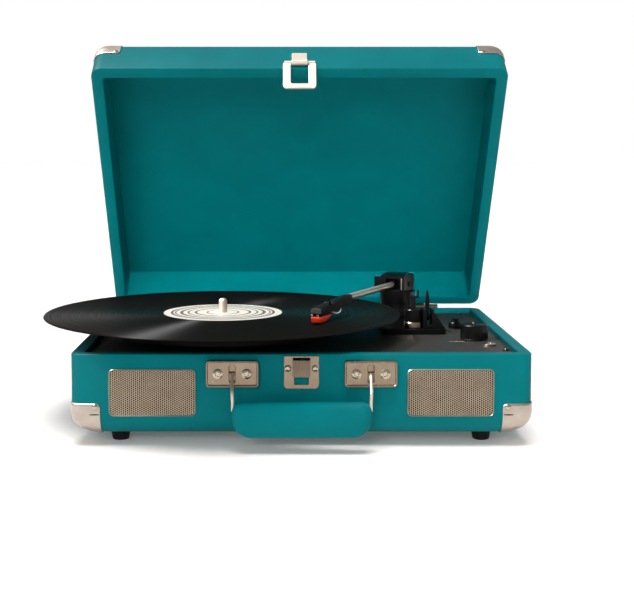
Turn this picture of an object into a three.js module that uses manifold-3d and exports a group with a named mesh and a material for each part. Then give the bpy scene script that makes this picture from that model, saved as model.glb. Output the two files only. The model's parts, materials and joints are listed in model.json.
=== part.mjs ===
// Suitcase record player: hinged leatherette case, belt drive, tonearm, handle and latch.
// Millimetres, +Z up, +Y towards the hinges, feet on z = 0.
import * as THREE from 'three';
import { mergeVertices } from 'three/addons/utils/BufferGeometryUtils.js';
import Module from 'manifold-3d';

const wasm = await Module();
wasm.setup();

// ---------------------------------------------------------------- driving dimensions
const CASE_W = 355.6;
const CASE_D = 266.7;
const BASE_H = 64;
const LID_H = 50;
const FOOT_H = 9;
const WALL = 10;
const FLOOR_T = 6;
const LID_PANEL_T = 12;
const LEDGE = 6;
const EDGE_R = 18;
const UPRIGHT_R = 9;
const SEAM = 0.3;
const FIT = 0.1;
const RUN = 0.4;
const LID_OPEN = 56;
const HINGE_OUT = 3.5;
const HINGE_X = 118;
const HINGE_LEN = 40;
const DECK_DROP = 4;
const DECK_T = 3;
const CORNER_LEG = 23;
const CORNER_T = 0.8;

const RECORD = { x: -65.4, y: -23, r: 150.8, t: 1.5, above: 17.3 };
const PLATTER = { r: 100, driveR: 82, mat: 2 };
const SPINDLE = { r: 3.55, above: 12 };
const PULLEY = { r: 4, reach: 89, bearing: 135 };
const ARM = { x: 92, y: 68, length: 173.7, angle: 26.2, above: 31.5, tubeR: 2.5 };
const REST = { x: 99.6, y: 0 };
const LIFTER = { reach: 30, from: -16, to: 46, rod: -14 };
const LEVER = { x: 113, y: 7, above: 9, top: 33 };
const HANDLE = { x: 53, wireX: 52.2, below: 14.6, out: 2, stand: 19 };
const GRIP = { w: 106, top: 33.4, low: 60.4, t: 14, bevel: 4, cornerR: 11 };
const LATCH = { out: 3.2, up: 4.5, tilt: 26, w: 28, drop: 26.4, window: 21.3, catchW: 27 };
const SPEAKER = { x: 114.6, below: 30, w: 66.8, h: 36.6 };
const FOOT = { x: 143, y: 103, top: 8, tip: 6.5 };
const PHONES = { x: 154.6, y: -70.6, bore: 1.75, barrel: 3.8, flange: 5.2, deep: 12 };
const LED = { x: 164, y: -93, r: 1.8 };
const VOLUME = { x: 147, y: -38, r: 11.5, h: 13 };
const SELECTOR = { x: 140, y: 26, r: 6, h: 6.5 };
const JACKS = { x: -70, below: 36, w: 64, h: 28, spacing: 20 };
const BOARD = { x: [60, 150], y: [20, 85], above: 4, t: 1.6 };
const MOTOR = { r: 18, low: 40, top: 65.5, well: 52, bore: 2 };
const PLINTH = { x: 99.5, y: 39, w: 56, d: 104, t: 4.6 };
const COLUMN = { r: 16, flangeR: 21, above: 25, bore: 4.4 };
const YOKE = { half: 11.25, reach: 13, shaft: 4 };

const RIM_Z = FOOT_H + BASE_H;
const DECK_Z = RIM_Z - DECK_DROP;
const FLOOR_Z = FOOT_H + FLOOR_T;
const FRONT_Y = -CASE_D / 2;
const REAR_Y = CASE_D / 2;
const SIDE_X = CASE_W / 2;
const RECORD_TOP = RIM_Z + RECORD.above;
const RECORD_LOW = RECORD_TOP - RECORD.t;
const PLATTER_TOP = RECORD_LOW - PLATTER.mat - 2 * FIT;
const PLINTH_Z = DECK_Z + PLINTH.t;
const ARM_Z = RIM_Z + ARM.above;
const BEARING_Z = DECK_Z - 5;
const BELT_Z = DECK_Z + 6;
const COLUMN_TOP = RIM_Z + COLUMN.above;
const SPINDLE_BORE = SPINDLE.r + FIT;
const rad = THREE.MathUtils.degToRad;
const PULLEY_X = RECORD.x + PULLEY.reach * Math.cos(rad(PULLEY.bearing));
const PULLEY_Y = RECORD.y + PULLEY.reach * Math.sin(rad(PULLEY.bearing));
const JACKS_Z = RIM_Z - JACKS.below;
const CORNERS = [['front_left', -1, -1], ['front_right', 1, -1], ['rear_left', -1, 1], ['rear_right', 1, 1]];

// ---------------------------------------------------------------- solids and booleans
function signedVolume(position, index) {
  const a = new THREE.Vector3();
  const b = new THREE.Vector3();
  const c = new THREE.Vector3();
  let total = 0;
  for (let i = 0; i < index.length; i += 3) {
    a.fromBufferAttribute(position, index[i]);
    b.fromBufferAttribute(position, index[i + 1]);
    c.fromBufferAttribute(position, index[i + 2]);
    total += a.dot(b.cross(c)) / 6;
  }
  return total;
}

function toSolid(geometry) {
  const bare = geometry.clone();
  bare.deleteAttribute('normal');
  bare.deleteAttribute('uv');
  const merged = mergeVertices(bare, 1e-4);
  const position = merged.getAttribute('position');
  const kept = [];
  const index = merged.index.array;
  for (let i = 0; i < index.length; i += 3) {
    const [p, q, r] = [index[i], index[i + 1], index[i + 2]];
    if (p !== q && q !== r && r !== p) kept.push(p, q, r);
  }
  if (signedVolume(position, kept) < 0) kept.reverse();
  const vertProperties = new Float32Array(position.array);
  const triVerts = new Uint32Array(kept);
  return new wasm.Manifold(new wasm.Mesh({ numProp: 3, vertProperties, triVerts }));
}

function toGeometry(solid) {
  const mesh = solid.getMesh();
  const geometry = new THREE.BufferGeometry();
  geometry.setAttribute('position', new THREE.BufferAttribute(mesh.vertProperties, 3));
  geometry.setIndex(new THREE.BufferAttribute(mesh.triVerts, 1));
  return geometry;
}

function join(...parts) {
  return toGeometry(parts.map(toSolid).reduce((sum, next) => sum.add(next)));
}

function cut(body, ...tools) {
  return toGeometry(tools.map(toSolid).reduce((left, tool) => left.subtract(tool), toSolid(body)));
}

function common(...parts) {
  return toGeometry(parts.map(toSolid).reduce((shared, next) => shared.intersect(next)));
}

// ---------------------------------------------------------------- basic shapes
function box(x, y, z) {
  const geometry = new THREE.BoxGeometry(x[1] - x[0], y[1] - y[0], z[1] - z[0]);
  return geometry.translate((x[0] + x[1]) / 2, (y[0] + y[1]) / 2, (z[0] + z[1]) / 2);
}

// An outline drawn in the two other axes, carried along one axis from low to high.
function prism(outline, axis, [low, high], curveSegments = 4) {
  const options = { depth: high - low, bevelEnabled: false, curveSegments };
  const geometry = new THREE.ExtrudeGeometry(outline, options);
  const turn = new THREE.Matrix4();
  if (axis === 'x') turn.makeBasis(vec(0, 1, 0), vec(0, 0, 1), vec(1, 0, 0)).setPosition(low, 0, 0);
  if (axis === 'y') turn.makeBasis(vec(1, 0, 0), vec(0, 0, 1), vec(0, -1, 0)).setPosition(0, high, 0);
  if (axis === 'z') turn.setPosition(0, 0, low);
  return geometry.applyMatrix4(turn);
}

function vec(x, y, z) {
  return new THREE.Vector3(x, y, z);
}

// A profile of [radius, height] points turned about a line through (x, y).
function turned(profile, x, y, segments = 16) {
  const points = profile.map(([r, z]) => new THREE.Vector2(r, z));
  return new THREE.LatheGeometry(points, segments).rotateX(Math.PI / 2).translate(x, y, 0);
}

function ring(inner, outer, low, high, x, y, segments = 16) {
  const profile = [[inner, low], [outer, low], [outer, high], [inner, high], [inner, low]];
  return turned(profile, x, y, segments);
}

// A round rod from one point to another.
function rod(radius, from, to, segments = 10) {
  const line = to.clone().sub(from);
  const geometry = new THREE.CylinderGeometry(radius, radius, line.length(), segments);
  const turn = new THREE.Quaternion().setFromUnitVectors(vec(0, 1, 0), line.clone().normalize());
  geometry.applyQuaternion(turn);
  const middle = from.clone().add(to).multiplyScalar(0.5);
  return geometry.translate(middle.x, middle.y, middle.z);
}

function roundedRect(w, h, r, x = 0, y = 0) {
  const shape = new THREE.Shape();
  const [hw, hh] = [w / 2 - r, h / 2 - r];
  shape.absarc(x + hw, y - hh, r, -Math.PI / 2, 0, false);
  shape.absarc(x + hw, y + hh, r, 0, Math.PI / 2, false);
  shape.absarc(x - hw, y + hh, r, Math.PI / 2, Math.PI, false);
  shape.absarc(x - hw, y - hh, r, Math.PI, 1.5 * Math.PI, false);
  shape.closePath();
  return shape;
}

function roundHole(x, y, r) {
  return new THREE.Path().absarc(x, y, r, 0, 2 * Math.PI, true);
}

function polygon(...points) {
  return new THREE.Shape(points.map(([a, b]) => new THREE.Vector2(a, b)));
}

// ---------------------------------------------------------------- scene graph helpers
const player = new THREE.Group();

function add(group, name, geometry, [color, roughness, metalness]) {
  const material = new THREE.MeshStandardMaterial({ color, roughness, metalness });
  const mesh = new THREE.Mesh(toGeometry(toSolid(geometry)), material);
  mesh.name = name;
  group.add(mesh);
}

const LEATHERETTE = [0x007078, 0.6, 0];
const NICKEL = [0xbeb2a0, 0.35, 1];
const STEEL = [0xa8a8a8, 0.3, 1];
const BLACK = [0x161616, 0.45, 0];
const RUBBER = [0x101010, 0.9, 0];
const VINYL = [0x0a0a0a, 0.25, 0];
const ALLOY = [0xb4aaa0, 0.35, 1];
const BOARD_GREEN = [0x1d5a34, 0.6, 0];
const RED = [0xc8260a, 0.4, 0];

// ---------------------------------------------------------------- case shells
// A block with rounded uprights and a rounded far perimeter at z = 0, open side at z = height.
function caseBlock(height, grow) {
  const plan = roundedRect(CASE_W + 2 * grow, CASE_D + 2 * grow, UPRIGHT_R + grow);
  const section = (half) => {
    const r = EDGE_R + grow;
    const shape = new THREE.Shape();
    shape.moveTo(half, height);
    shape.lineTo(-half, height);
    shape.absarc(-half + r, r - grow, r, Math.PI, 1.5 * Math.PI, false);
    shape.absarc(half - r, r - grow, r, 1.5 * Math.PI, 2 * Math.PI, false);
    shape.closePath();
    return shape;
  };
  const front = prism(section(SIDE_X + grow), 'y', [FRONT_Y - grow, REAR_Y + grow]);
  const side = prism(section(REAR_Y + grow), 'x', [-SIDE_X - grow, SIDE_X + grow]);
  return common(prism(plan, 'z', [-grow, height]), front, side);
}

function baseTub() {
  const x = SIDE_X - WALL;
  const inner = box([-x, x], [FRONT_Y + WALL, REAR_Y - WALL], [DECK_Z - DECK_T - FIT, RIM_Z + 1]);
  const belly = box([LEDGE - x, x - LEDGE], [FRONT_Y + WALL, REAR_Y - WALL - LEDGE], [FLOOR_Z, RIM_Z]);
  const sound = [-1, 1].map((side) => {
    const window = roundedRect(59, 29.6, 4, side * SPEAKER.x, RIM_Z - SPEAKER.below);
    return prism(window, 'y', [FRONT_Y - 1, FRONT_Y + WALL + 1]);
  });
  const behind = [REAR_Y - WALL - LEDGE - 1, REAR_Y + 1];
  const jacks = box([JACKS.x - 26, JACKS.x + 26], behind, [JACKS_Z - 10, JACKS_Z + 10]);
  return cut(caseBlock(BASE_H, 0).translate(0, 0, FOOT_H), inner, belly, jacks, ...sound);
}

function lidShell() {
  const x = SIDE_X - WALL;
  const hollow = box([-x, x], [FRONT_Y + WALL, REAR_Y - WALL], [-1, LID_H - LID_PANEL_T]);
  return cut(caseBlock(LID_H, 0).rotateX(Math.PI).translate(0, 0, LID_H), hollow);
}

// A thin pressed-metal cap over one corner of a case block, on the side (sx, sy).
function cornerCap(height, sx, sy) {
  const skin = cut(caseBlock(height, FIT + CORNER_T), caseBlock(height + 1, FIT));
  const along = (sign, half) => [sign * (half - CORNER_LEG), sign * (half + 2)].sort((a, b) => a - b);
  return common(skin, box(along(sx, SIDE_X), along(sy, REAR_Y), [-2, CORNER_LEG + 2.5]));
}

function buildCase() {
  add(player, 'base_tub', baseTub(), LEATHERETTE);
  for (const [place, sx, sy] of CORNERS) {
    add(player, `base_corner_${place}`, cornerCap(BASE_H, sx, sy).translate(0, 0, FOOT_H), NICKEL);
    const foot = [[0, 0], [FOOT.tip, 0], [FOOT.top, FOOT_H - FIT], [0, FOOT_H - FIT]];
    add(player, `foot_${place}`, turned(foot, sx * FOOT.x, sy * FOOT.y), RUBBER);
  }
}

function buildDeck() {
  const deck = roundedRect(CASE_W - 2 * WALL - 2 * FIT, CASE_D - 2 * WALL - 2 * FIT, 1);
  const holes = [[RECORD.x, RECORD.y, 8.8], [PULLEY_X, PULLEY_Y, 6.5], [PHONES.x, PHONES.y, 4.1]];
  for (const knob of [VOLUME, SELECTOR]) holes.push([knob.x, knob.y, 3.5]);
  deck.holes = holes.map(([x, y, r]) => roundHole(x, y, r));
  add(player, 'deck_plate', prism(deck, 'z', [DECK_Z - DECK_T, DECK_Z], 8), BLACK);
}

// ---------------------------------------------------------------- speakers and electronics
function buildSpeakers() {
  for (const [place, side] of [['left', -1], ['right', 1]]) {
    const plate = roundedRect(SPEAKER.w, SPEAKER.h, 3.6, side * SPEAKER.x, RIM_Z - SPEAKER.below);
    add(player, `speaker_grille_${place}`, prism(plate, 'y', [FRONT_Y - 1.3, FRONT_Y - FIT]), NICKEL);
    const inside = FRONT_Y + WALL + FIT;
    const basket = [[0, 0], [22.5, 0], [22.5, 2], [19, 2], [12, 12], [14, 12], [14, 20], [0, 20]];
    const driver = turned(basket, 0, 0).rotateX(-Math.PI / 2);
    driver.translate(side * SPEAKER.x, inside, RIM_Z - SPEAKER.below);
    add(player, `speaker_driver_${place}`, driver, BLACK);
  }
}

function amplifierBoard() {
  const low = FLOOR_Z + BOARD.above;
  const board = box(BOARD.x, BOARD.y, [low, low + BOARD.t]);
  const chips = [
    box([70, 92], [30, 44], [low + 1, low + 14]),
    ring(0, 6, low + 1, low + 18, 110, 40),
    ring(0, 6, low + 1, low + 18, 126, 40),
    box([100, 140], [60, 76], [low + 1, low + 9]),
  ];
  const legs = [];
  for (const x of BOARD.x) {
    const inX = x + 5 * Math.sign(105 - x);
    for (const y of BOARD.y) {
      const inY = y + 5 * Math.sign(50 - y);
      legs.push(ring(0, 3, FLOOR_Z + FIT, low + 1, inX, inY, 12));
    }
  }
  return join(board, ...chips, ...legs);
}

// Two phono sockets and a round power inlet on one plate on the outside of the rear wall.
function jackPanel() {
  const face = REAR_Y + FIT;
  const [x, halfW, halfH] = [JACKS.x, JACKS.w / 2, JACKS.h / 2];
  const plate = box([x - halfW, x + halfW], [face, face + 1.2], [JACKS_Z - halfH, JACKS_Z + halfH]);
  const barrel = (dx, r, from, to) => {
    return rod(r, vec(x + dx, face + from, JACKS_Z), vec(x + dx, face + to, JACKS_Z), 12);
  };
  const phono = [-JACKS.spacing, 0];
  const sockets = phono.map((dx) => barrel(dx, 4.2, -8, 9));
  const centres = phono.map((dx) => barrel(dx, 1.7, -2, 10));
  const inlet = barrel(JACKS.spacing, 5, -10, 3);
  const well = barrel(JACKS.spacing, 2.8, -6, 4);
  return cut(join(plate, ...sockets, inlet), ...centres, well);
}

function buildElectronics() {
  add(player, 'amplifier_board', amplifierBoard(), BOARD_GREEN);
  add(player, 'jack_panel', jackPanel(), BLACK);
  const base = DECK_Z + FIT;
  const { bore, barrel, flange, deep } = PHONES;
  const low = DECK_Z - deep;
  const jack = [[bore, low], [barrel, low], [barrel, base], [flange, base], [flange, base + 1.9]];
  jack.push([bore, base + 1.9], [bore, low]);
  add(player, 'headphone_jack', turned(jack, PHONES.x, PHONES.y), STEEL);
  const dome = [[0, base], [LED.r, base], [LED.r, base + 0.9], [LED.r - 0.6, base + 1.9], [0, base + 2.3]];
  add(player, 'power_led', turned(dome, LED.x, LED.y, 12), RED);
}

function knobProfile({ r, h }) {
  const low = DECK_Z + RUN;
  const top = DECK_Z + h;
  const stem = DECK_Z - 9;
  const skirt = [[0, stem], [3, stem], [3, low], [r, low], [r, top - 2.4]];
  return [...skirt, [r - 0.8, top - 0.9], [r - 2.4, top], [0, top + 0.4]];
}

function buildKnobs() {
  add(player, 'volume_knob', turned(knobProfile(VOLUME), VOLUME.x, VOLUME.y, 20), BLACK);
  const { x, y, r, h } = SELECTOR;
  const wing = box([x - 1.6, x + 1.6], [y - r - 2, y + r - 1], [DECK_Z + 2, DECK_Z + h + 3]);
  add(player, 'selector_knob', join(turned(knobProfile(SELECTOR), x, y), wing), BLACK);
}

// ---------------------------------------------------------------- platter and belt drive
function beltOutline(grow) {
  const [big, small] = [PLATTER.driveR + grow, PULLEY.r + grow];
  const lean = Math.acos((PLATTER.driveR - PULLEY.r) / PULLEY.reach);
  const shape = new THREE.Shape();
  shape.absarc(0, 0, big, lean, 2 * Math.PI - lean, false);
  shape.absarc(PULLEY.reach, 0, small, -lean, lean, false);
  shape.closePath();
  return shape;
}

function platterDish() {
  const [drive, rim, top] = [PLATTER.driveR, PLATTER.r, PLATTER_TOP];
  const [hub, under] = [BELT_Z - 1, BELT_Z - 2.5];
  const dish = [[SPINDLE_BORE, hub], [10, hub], [10, top - 3], [drive - 4, top - 3], [drive - 4, under]];
  dish.push([drive, under], [drive, top - 3], [rim - 4, top - 3], [rim - 4, top - 10], [rim, top - 10]);
  dish.push([rim, top], [SPINDLE_BORE, top], [SPINDLE_BORE, hub]);
  return turned(dish, RECORD.x, RECORD.y, 40);
}

function buildPlatter() {
  const { x, y } = RECORD;
  const low = DECK_Z - 11;
  const wide = SPINDLE.r + RUN;
  const lip = BELT_Z - 1.5;
  const bush = [[0, low], [8.5, low], [8.5, lip], [wide, lip], [wide, BEARING_Z], [0, BEARING_Z]];
  add(player, 'platter_bearing', turned(bush, x, y), ALLOY);
  const tip = RECORD_TOP + SPINDLE.above;
  const foot = BEARING_Z + RUN;
  const shaft = [[0, foot], [SPINDLE.r, foot], [SPINDLE.r, tip - 2.4], [2.3, tip - 0.5], [0, tip]];
  add(player, 'spindle', turned(shaft, x, y), ALLOY);
  add(player, 'platter', platterDish(), BLACK);
  const mat = PLATTER_TOP + FIT;
  add(player, 'slip_mat', ring(SPINDLE_BORE, PLATTER.r - 2, mat, mat + PLATTER.mat, x, y, 40), RUBBER);
  add(player, 'record', ring(SPINDLE_BORE, RECORD.r, RECORD_LOW, RECORD_TOP, x, y, 72), VINYL);
}

function buildMotor() {
  const { r, low, top, well, bore } = MOTOR;
  const can = [[0, low], [r, low], [r, top], [bore, top], [bore, well], [0, well]];
  add(player, 'motor', turned(can, PULLEY_X, PULLEY_Y), STEEL);
  const axle = bore - RUN;
  const flange = PULLEY.r + 1.6;
  const [bottom, head] = [BELT_Z - 4, BELT_Z + 4];
  const spool = [[0, well + 1], [axle, well + 1], [axle, bottom], [flange, bottom], [flange, bottom + 1]];
  spool.push([PULLEY.r, bottom + 1.6], [PULLEY.r, head - 1.6], [flange, head - 1], [flange, head], [0, head]);
  add(player, 'motor_pulley', turned(spool, PULLEY_X, PULLEY_Y), ALLOY);
  const loop = beltOutline(1.4);
  loop.holes.push(beltOutline(0.6));
  const belt = prism(loop, 'z', [BELT_Z - 2, BELT_Z + 2], 20);
  add(player, 'drive_belt', belt.rotateZ(rad(PULLEY.bearing)).translate(RECORD.x, RECORD.y, 0), RUBBER);
}

// ---------------------------------------------------------------- tonearm
const swing = new THREE.Group();
swing.position.set(ARM.x, ARM.y, ARM_Z);
swing.rotation.z = -rad(ARM.angle);

// The arm's own frame: pivot at the origin, stylus towards -Y.
function armYoke() {
  const { half, reach } = YOKE;
  const low = COLUMN_TOP + RUN - ARM_Z;
  const side = new THREE.Shape();
  side.moveTo(-reach, low);
  side.lineTo(reach, low);
  side.lineTo(reach, 7.8);
  side.quadraticCurveTo(6, 10.4, -1, 10.2);
  side.quadraticCurveTo(-8, 10, -reach, 7.8);
  side.closePath();
  const head = prism(side, 'x', [-half, half]);
  const lug = box([-21, -half + 0.25], [-5, 9], [low, 6]);
  const shaft = rod(YOKE.shaft, vec(0, 0, low - 13), vec(0, 0, low + 1), 14);
  const slot = box([-6.6, 6.6], [-reach - 1, reach + 1], [-5, 5.2]);
  const bore = rod(2, vec(-12, 0, 0), vec(12, 0, 0));
  return cut(join(head, lug, shaft), slot, bore);
}

function armTube() {
  return rod(ARM.tubeR, vec(0, -9.2, 0), vec(0, -128, 0), 12);
}

function armPivotBlock() {
  const block = box([-5.8, 5.8], [-9, 9], [-4, 4]);
  const pin = rod(1.6, vec(-10.5, 0, 0), vec(10.5, 0, 0));
  const tail = rod(2.5, vec(0, 8, 0), vec(0, 19, 0));
  const weight = rod(5.5, vec(0, 18, 0), vec(0, 30, 0), 16);
  return join(block, pin, tail, weight);
}

function headshell() {
  const side = polygon([-128.1, 1.4], [-128.1, -3.8], [-150, -5.7], [-182, -5.7]);
  side.lineTo(-182.6, -2.2);
  side.lineTo(-176, -1.2);
  const tongue = prism(side, 'x', [-4.6, 4.6]);
  const lift = new THREE.Shape();
  lift.moveTo(-160, -2);
  lift.lineTo(-166, -2);
  lift.quadraticCurveTo(-166.4, 2, -169, 3.8);
  lift.lineTo(-166, 4.6);
  lift.quadraticCurveTo(-163, 3, -160, -2);
  lift.closePath();
  return join(tongue, prism(lift, 'x', [-2.6, 2.6], 4));
}

function cartridge() {
  return box([-4.2, 4.2], [-181, -159], [-8.3, -5.8]);
}

function stylus() {
  const high = -8.4;
  const low = RECORD_TOP + 0.9 - ARM_Z;
  const wedge = polygon([-182.5, high], [-181, low + 0.6], [-178, low], [-168, low], [-163, high]);
  const tip = new THREE.CylinderGeometry(0.8, 0.2, 1, 8).rotateX(Math.PI / 2);
  tip.translate(0, -ARM.length, low - 0.2);
  return join(prism(wedge, 'x', [-4, 4]), tip);
}

// Part of a flat ring about the arm's pivot, between two arm angles.
function arcBar(reach, width, from, to, low, high) {
  const [a0, a1] = [rad(270 - to), rad(270 - from)];
  const shape = new THREE.Shape();
  shape.absarc(ARM.x, ARM.y, reach + width / 2, a0, a1, false);
  shape.absarc(ARM.x, ARM.y, reach - width / 2, a1, a0, true);
  shape.closePath();
  return prism(shape, 'z', [low, high], 10);
}

function onArm(reach, angle) {
  return [ARM.x - reach * Math.sin(rad(angle)), ARM.y - reach * Math.cos(rad(angle))];
}

function buildTonearm() {
  const [rodX, rodY] = onArm(LIFTER.reach, LIFTER.rod);
  const plate = roundedRect(PLINTH.w, PLINTH.d, 6, PLINTH.x, PLINTH.y);
  plate.holes.push(roundHole(rodX, rodY, 2.1));
  add(player, 'tonearm_plinth', prism(plate, 'z', [DECK_Z + FIT, PLINTH_Z]), BLACK);
  const base = PLINTH_Z + FIT;
  const { r, flangeR, bore } = COLUMN;
  const well = RIM_Z + 11;
  const column = [[0, base], [flangeR, base], [flangeR, base + 3.5], [r, base + 8], [r, COLUMN_TOP]];
  column.push([bore, COLUMN_TOP], [bore, well], [0, well]);
  add(player, 'tonearm_column', turned(column, ARM.x, ARM.y, 24), BLACK);
  player.add(swing);
  add(swing, 'arm_yoke', armYoke(), BLACK);
  add(swing, 'arm_pivot_block', armPivotBlock(), BLACK);
  add(swing, 'arm_tube', armTube(), ALLOY);
  add(swing, 'headshell', headshell(), BLACK);
  add(swing, 'cartridge', cartridge(), BLACK);
  add(swing, 'stylus', stylus(), RED);
  const under = ARM_Z - ARM.tubeR - RUN;
  const bar = arcBar(LIFTER.reach, 3, LIFTER.from, LIFTER.to, under - 2.4, under);
  const stem = ring(0, 1.7, DECK_Z + 0.6, under - 1, rodX, rodY, 16);
  add(player, 'arm_lifter', join(bar, stem), BLACK);
}

function armRest() {
  const { x, y } = REST;
  const base = PLINTH_Z + FIT;
  const top = RIM_Z + 17;
  const profile = [[0, base], [7.7, base], [7.7, base + 3], [7.2, base + 3.6], [7.2, top], [0, top]];
  const column = turned(profile, x, y);
  const floor = ARM_Z - ARM.tubeR - 0.6;
  const post = box([x - 2, x + 2], [y - 2, y + 2], [top - 1, floor]);
  const cradle = box([x - 3.5, x + 5], [y - 2, y + 2], [floor - 2, floor]);
  const stop = box([x + 3.6, x + 5], [y - 2, y + 2], [floor - 1, ARM_Z + 2.4]);
  return join(column, post, cradle, stop);
}

function cueBracket() {
  const base = PLINTH_Z + FIT;
  const { x, y } = LEVER;
  const pin = RIM_Z + LEVER.above;
  const top = pin + 8;
  const side = polygon([x - 5.5, base], [x + 13, base], [x + 13, base + 1.5], [x + 4.5, top - 3]);
  side.lineTo(x + 4.5, top);
  side.lineTo(x - 5.5, top);
  const body = prism(side, 'y', [y - 14, y + 4]);
  const slot = box([x - 2.1, x + 2.1], [y - 15, y + 5], [pin - 5.5, top + 1]);
  const bore = rod(1.9, vec(x - 6, y, pin), vec(x + 5, y, pin));
  return cut(body, slot, bore);
}

function cueLever() {
  const { x, y, above, top } = LEVER;
  const z = RIM_Z + above;
  const side = new THREE.Shape();
  side.moveTo(y - 2.4, z);
  side.lineTo(y + 2.4, z);
  side.lineTo(y + 1.5, RIM_Z + top - 1.6);
  side.quadraticCurveTo(y, RIM_Z + top + 1, y - 1.5, RIM_Z + top - 1.6);
  side.closePath();
  const blade = prism(side, 'x', [x - 1.6, x + 1.6]);
  const hub = rod(3.4, vec(x - 1.6, y, z), vec(x + 1.6, y, z), 12);
  const pin = rod(1.5, vec(x - 5, y, z), vec(x + 4, y, z));
  return join(blade, hub, pin);
}

function buildCueing() {
  add(player, 'arm_rest', armRest(), BLACK);
  add(player, 'cue_bracket', cueBracket(), BLACK);
  add(player, 'cue_lever', cueLever(), BLACK);
}

// ---------------------------------------------------------------- handle
function handleBracket(side) {
  const x = side * HANDLE.x;
  const z = RIM_Z - HANDLE.below;
  const outer = prism(roundedRect(40.2, 20.2, 2.5, x, z), 'y', [FRONT_Y - 6, FRONT_Y - FIT]);
  const dish = prism(roundedRect(37.2, 17.2, 2, x, z), 'y', [FRONT_Y - 7, FRONT_Y - 5]);
  const pocket = box([x - 6, x + 6], [FRONT_Y - 3.9, FRONT_Y], [z - 3, z + 3]);
  const slot = box([x - 2.4, x + 2.4], [FRONT_Y - 8, FRONT_Y], [z - 8.5, z + 8.5]);
  return cut(outer, dish, pocket, slot);
}

function handleWire(side) {
  const x = side * HANDLE.x;
  const end = side * HANDLE.wireX;
  const y = FRONT_Y - HANDLE.out;
  const z = RIM_Z - HANDLE.below;
  const grip = FRONT_Y - HANDLE.stand;
  const top = RIM_Z - GRIP.top + 2 * FIT;
  const line = new THREE.CatmullRomCurve3([
    vec(x, y, z),
    vec(x, y - 5, z - 5),
    vec((3 * x + end) / 4, y - 12, z - 9),
    vec((x + end) / 2, grip + 0.6, z - 12.5),
    vec(end, grip, top + 3),
    vec(end, grip, top),
  ]);
  const section = new THREE.Shape().absarc(0, 0, 1.5, 0, 2 * Math.PI, false);
  const leg = new THREE.ExtrudeGeometry(section, { steps: 9, curveSegments: 4, extrudePath: line });
  return join(leg, rod(1.5, vec(x - 5, y, z), vec(x + 5, y, z)));
}

function handleGrip() {
  const { bevel, cornerR: r } = GRIP;
  const half = GRIP.w / 2 - bevel;
  const low = RIM_Z - GRIP.low + bevel;
  const high = RIM_Z - GRIP.top - bevel;
  const shape = new THREE.Shape();
  shape.absarc(half - r, low + r, r, 1.5 * Math.PI, 2 * Math.PI, false);
  shape.lineTo(half, high);
  shape.lineTo(-half, high);
  shape.absarc(-half + r, low + r, r, Math.PI, 1.5 * Math.PI, false);
  shape.closePath();
  const depth = GRIP.t - 2 * bevel;
  const options = { depth, bevelThickness: bevel, bevelSize: bevel, bevelSegments: 3, curveSegments: 4 };
  const grip = new THREE.ExtrudeGeometry(shape, options).rotateX(Math.PI / 2);
  return grip.translate(0, FRONT_Y - HANDLE.stand + depth / 2, 0);
}

function buildHandle() {
  for (const [place, side] of [['left', -1], ['right', 1]]) {
    add(player, `handle_bracket_${place}`, handleBracket(side), NICKEL);
    add(player, `handle_wire_${place}`, handleWire(side), NICKEL);
  }
  add(player, 'handle_grip', handleGrip(), LEATHERETTE);
}

// ---------------------------------------------------------------- lid, hinges and latch
const lid = new THREE.Group();
lid.position.set(0, REAR_Y + HINGE_OUT, RIM_Z);
lid.rotation.x = -rad(LID_OPEN);
const LID_MID = -HINGE_OUT - CASE_D / 2;

// A hinge leaf whose plate runs up (way = 1) or down (way = -1) from the pin, pin at y = z = 0.
function hingeLeaf(x, way, knuckles) {
  const plateY = [FIT - HINGE_OUT, FIT + 1.2 - HINGE_OUT];
  const span = (a, b) => [Math.min(way * a, way * b), Math.max(way * a, way * b)];
  const plate = box([x - HINGE_LEN / 2, x + HINGE_LEN / 2], plateY, span(3.8, 18));
  const barrels = knuckles.map(([a, b]) => rod(3, vec(x + a, 0, 0), vec(x + b, 0, 0), 12));
  const tabs = knuckles.map(([a, b]) => box([x + a, x + b], plateY, span(0, 5)));
  const bore = rod(2, vec(x - 21, 0, 0), vec(x + 21, 0, 0));
  return cut(join(plate, ...barrels, ...tabs), bore);
}

function buildHinges() {
  for (const [place, side] of [['left', -1], ['right', 1]]) {
    const x = side * HINGE_X;
    const fixed = hingeLeaf(x, -1, [[-20, -7], [7, 20]]).translate(0, REAR_Y + HINGE_OUT, RIM_Z);
    add(player, `hinge_base_leaf_${place}`, fixed, NICKEL);
    add(lid, `hinge_lid_leaf_${place}`, hingeLeaf(x, 1, [[-6.7, 6.7]]), NICKEL);
    const axis = { y: REAR_Y + HINGE_OUT, z: RIM_Z };
    const pin = rod(1.6, vec(x - 20, axis.y, axis.z), vec(x + 20, axis.y, axis.z));
    add(player, `hinge_pin_${place}`, pin, STEEL);
  }
}

function latchTab() {
  const face = LID_MID - CASE_D / 2;
  const axis = [face - LATCH.out, SEAM + LATCH.up];
  const plate = box([-6.5, 6.5], [face - FIT - 1.2, face - FIT], [axis[1], axis[1] + 19]);
  const knuckle = rod(2.7, vec(-6.5, ...axis), vec(6.5, ...axis), 12);
  const bore = rod(1.7, vec(-8, ...axis), vec(8, ...axis));
  return cut(join(plate, knuckle), bore);
}

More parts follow.
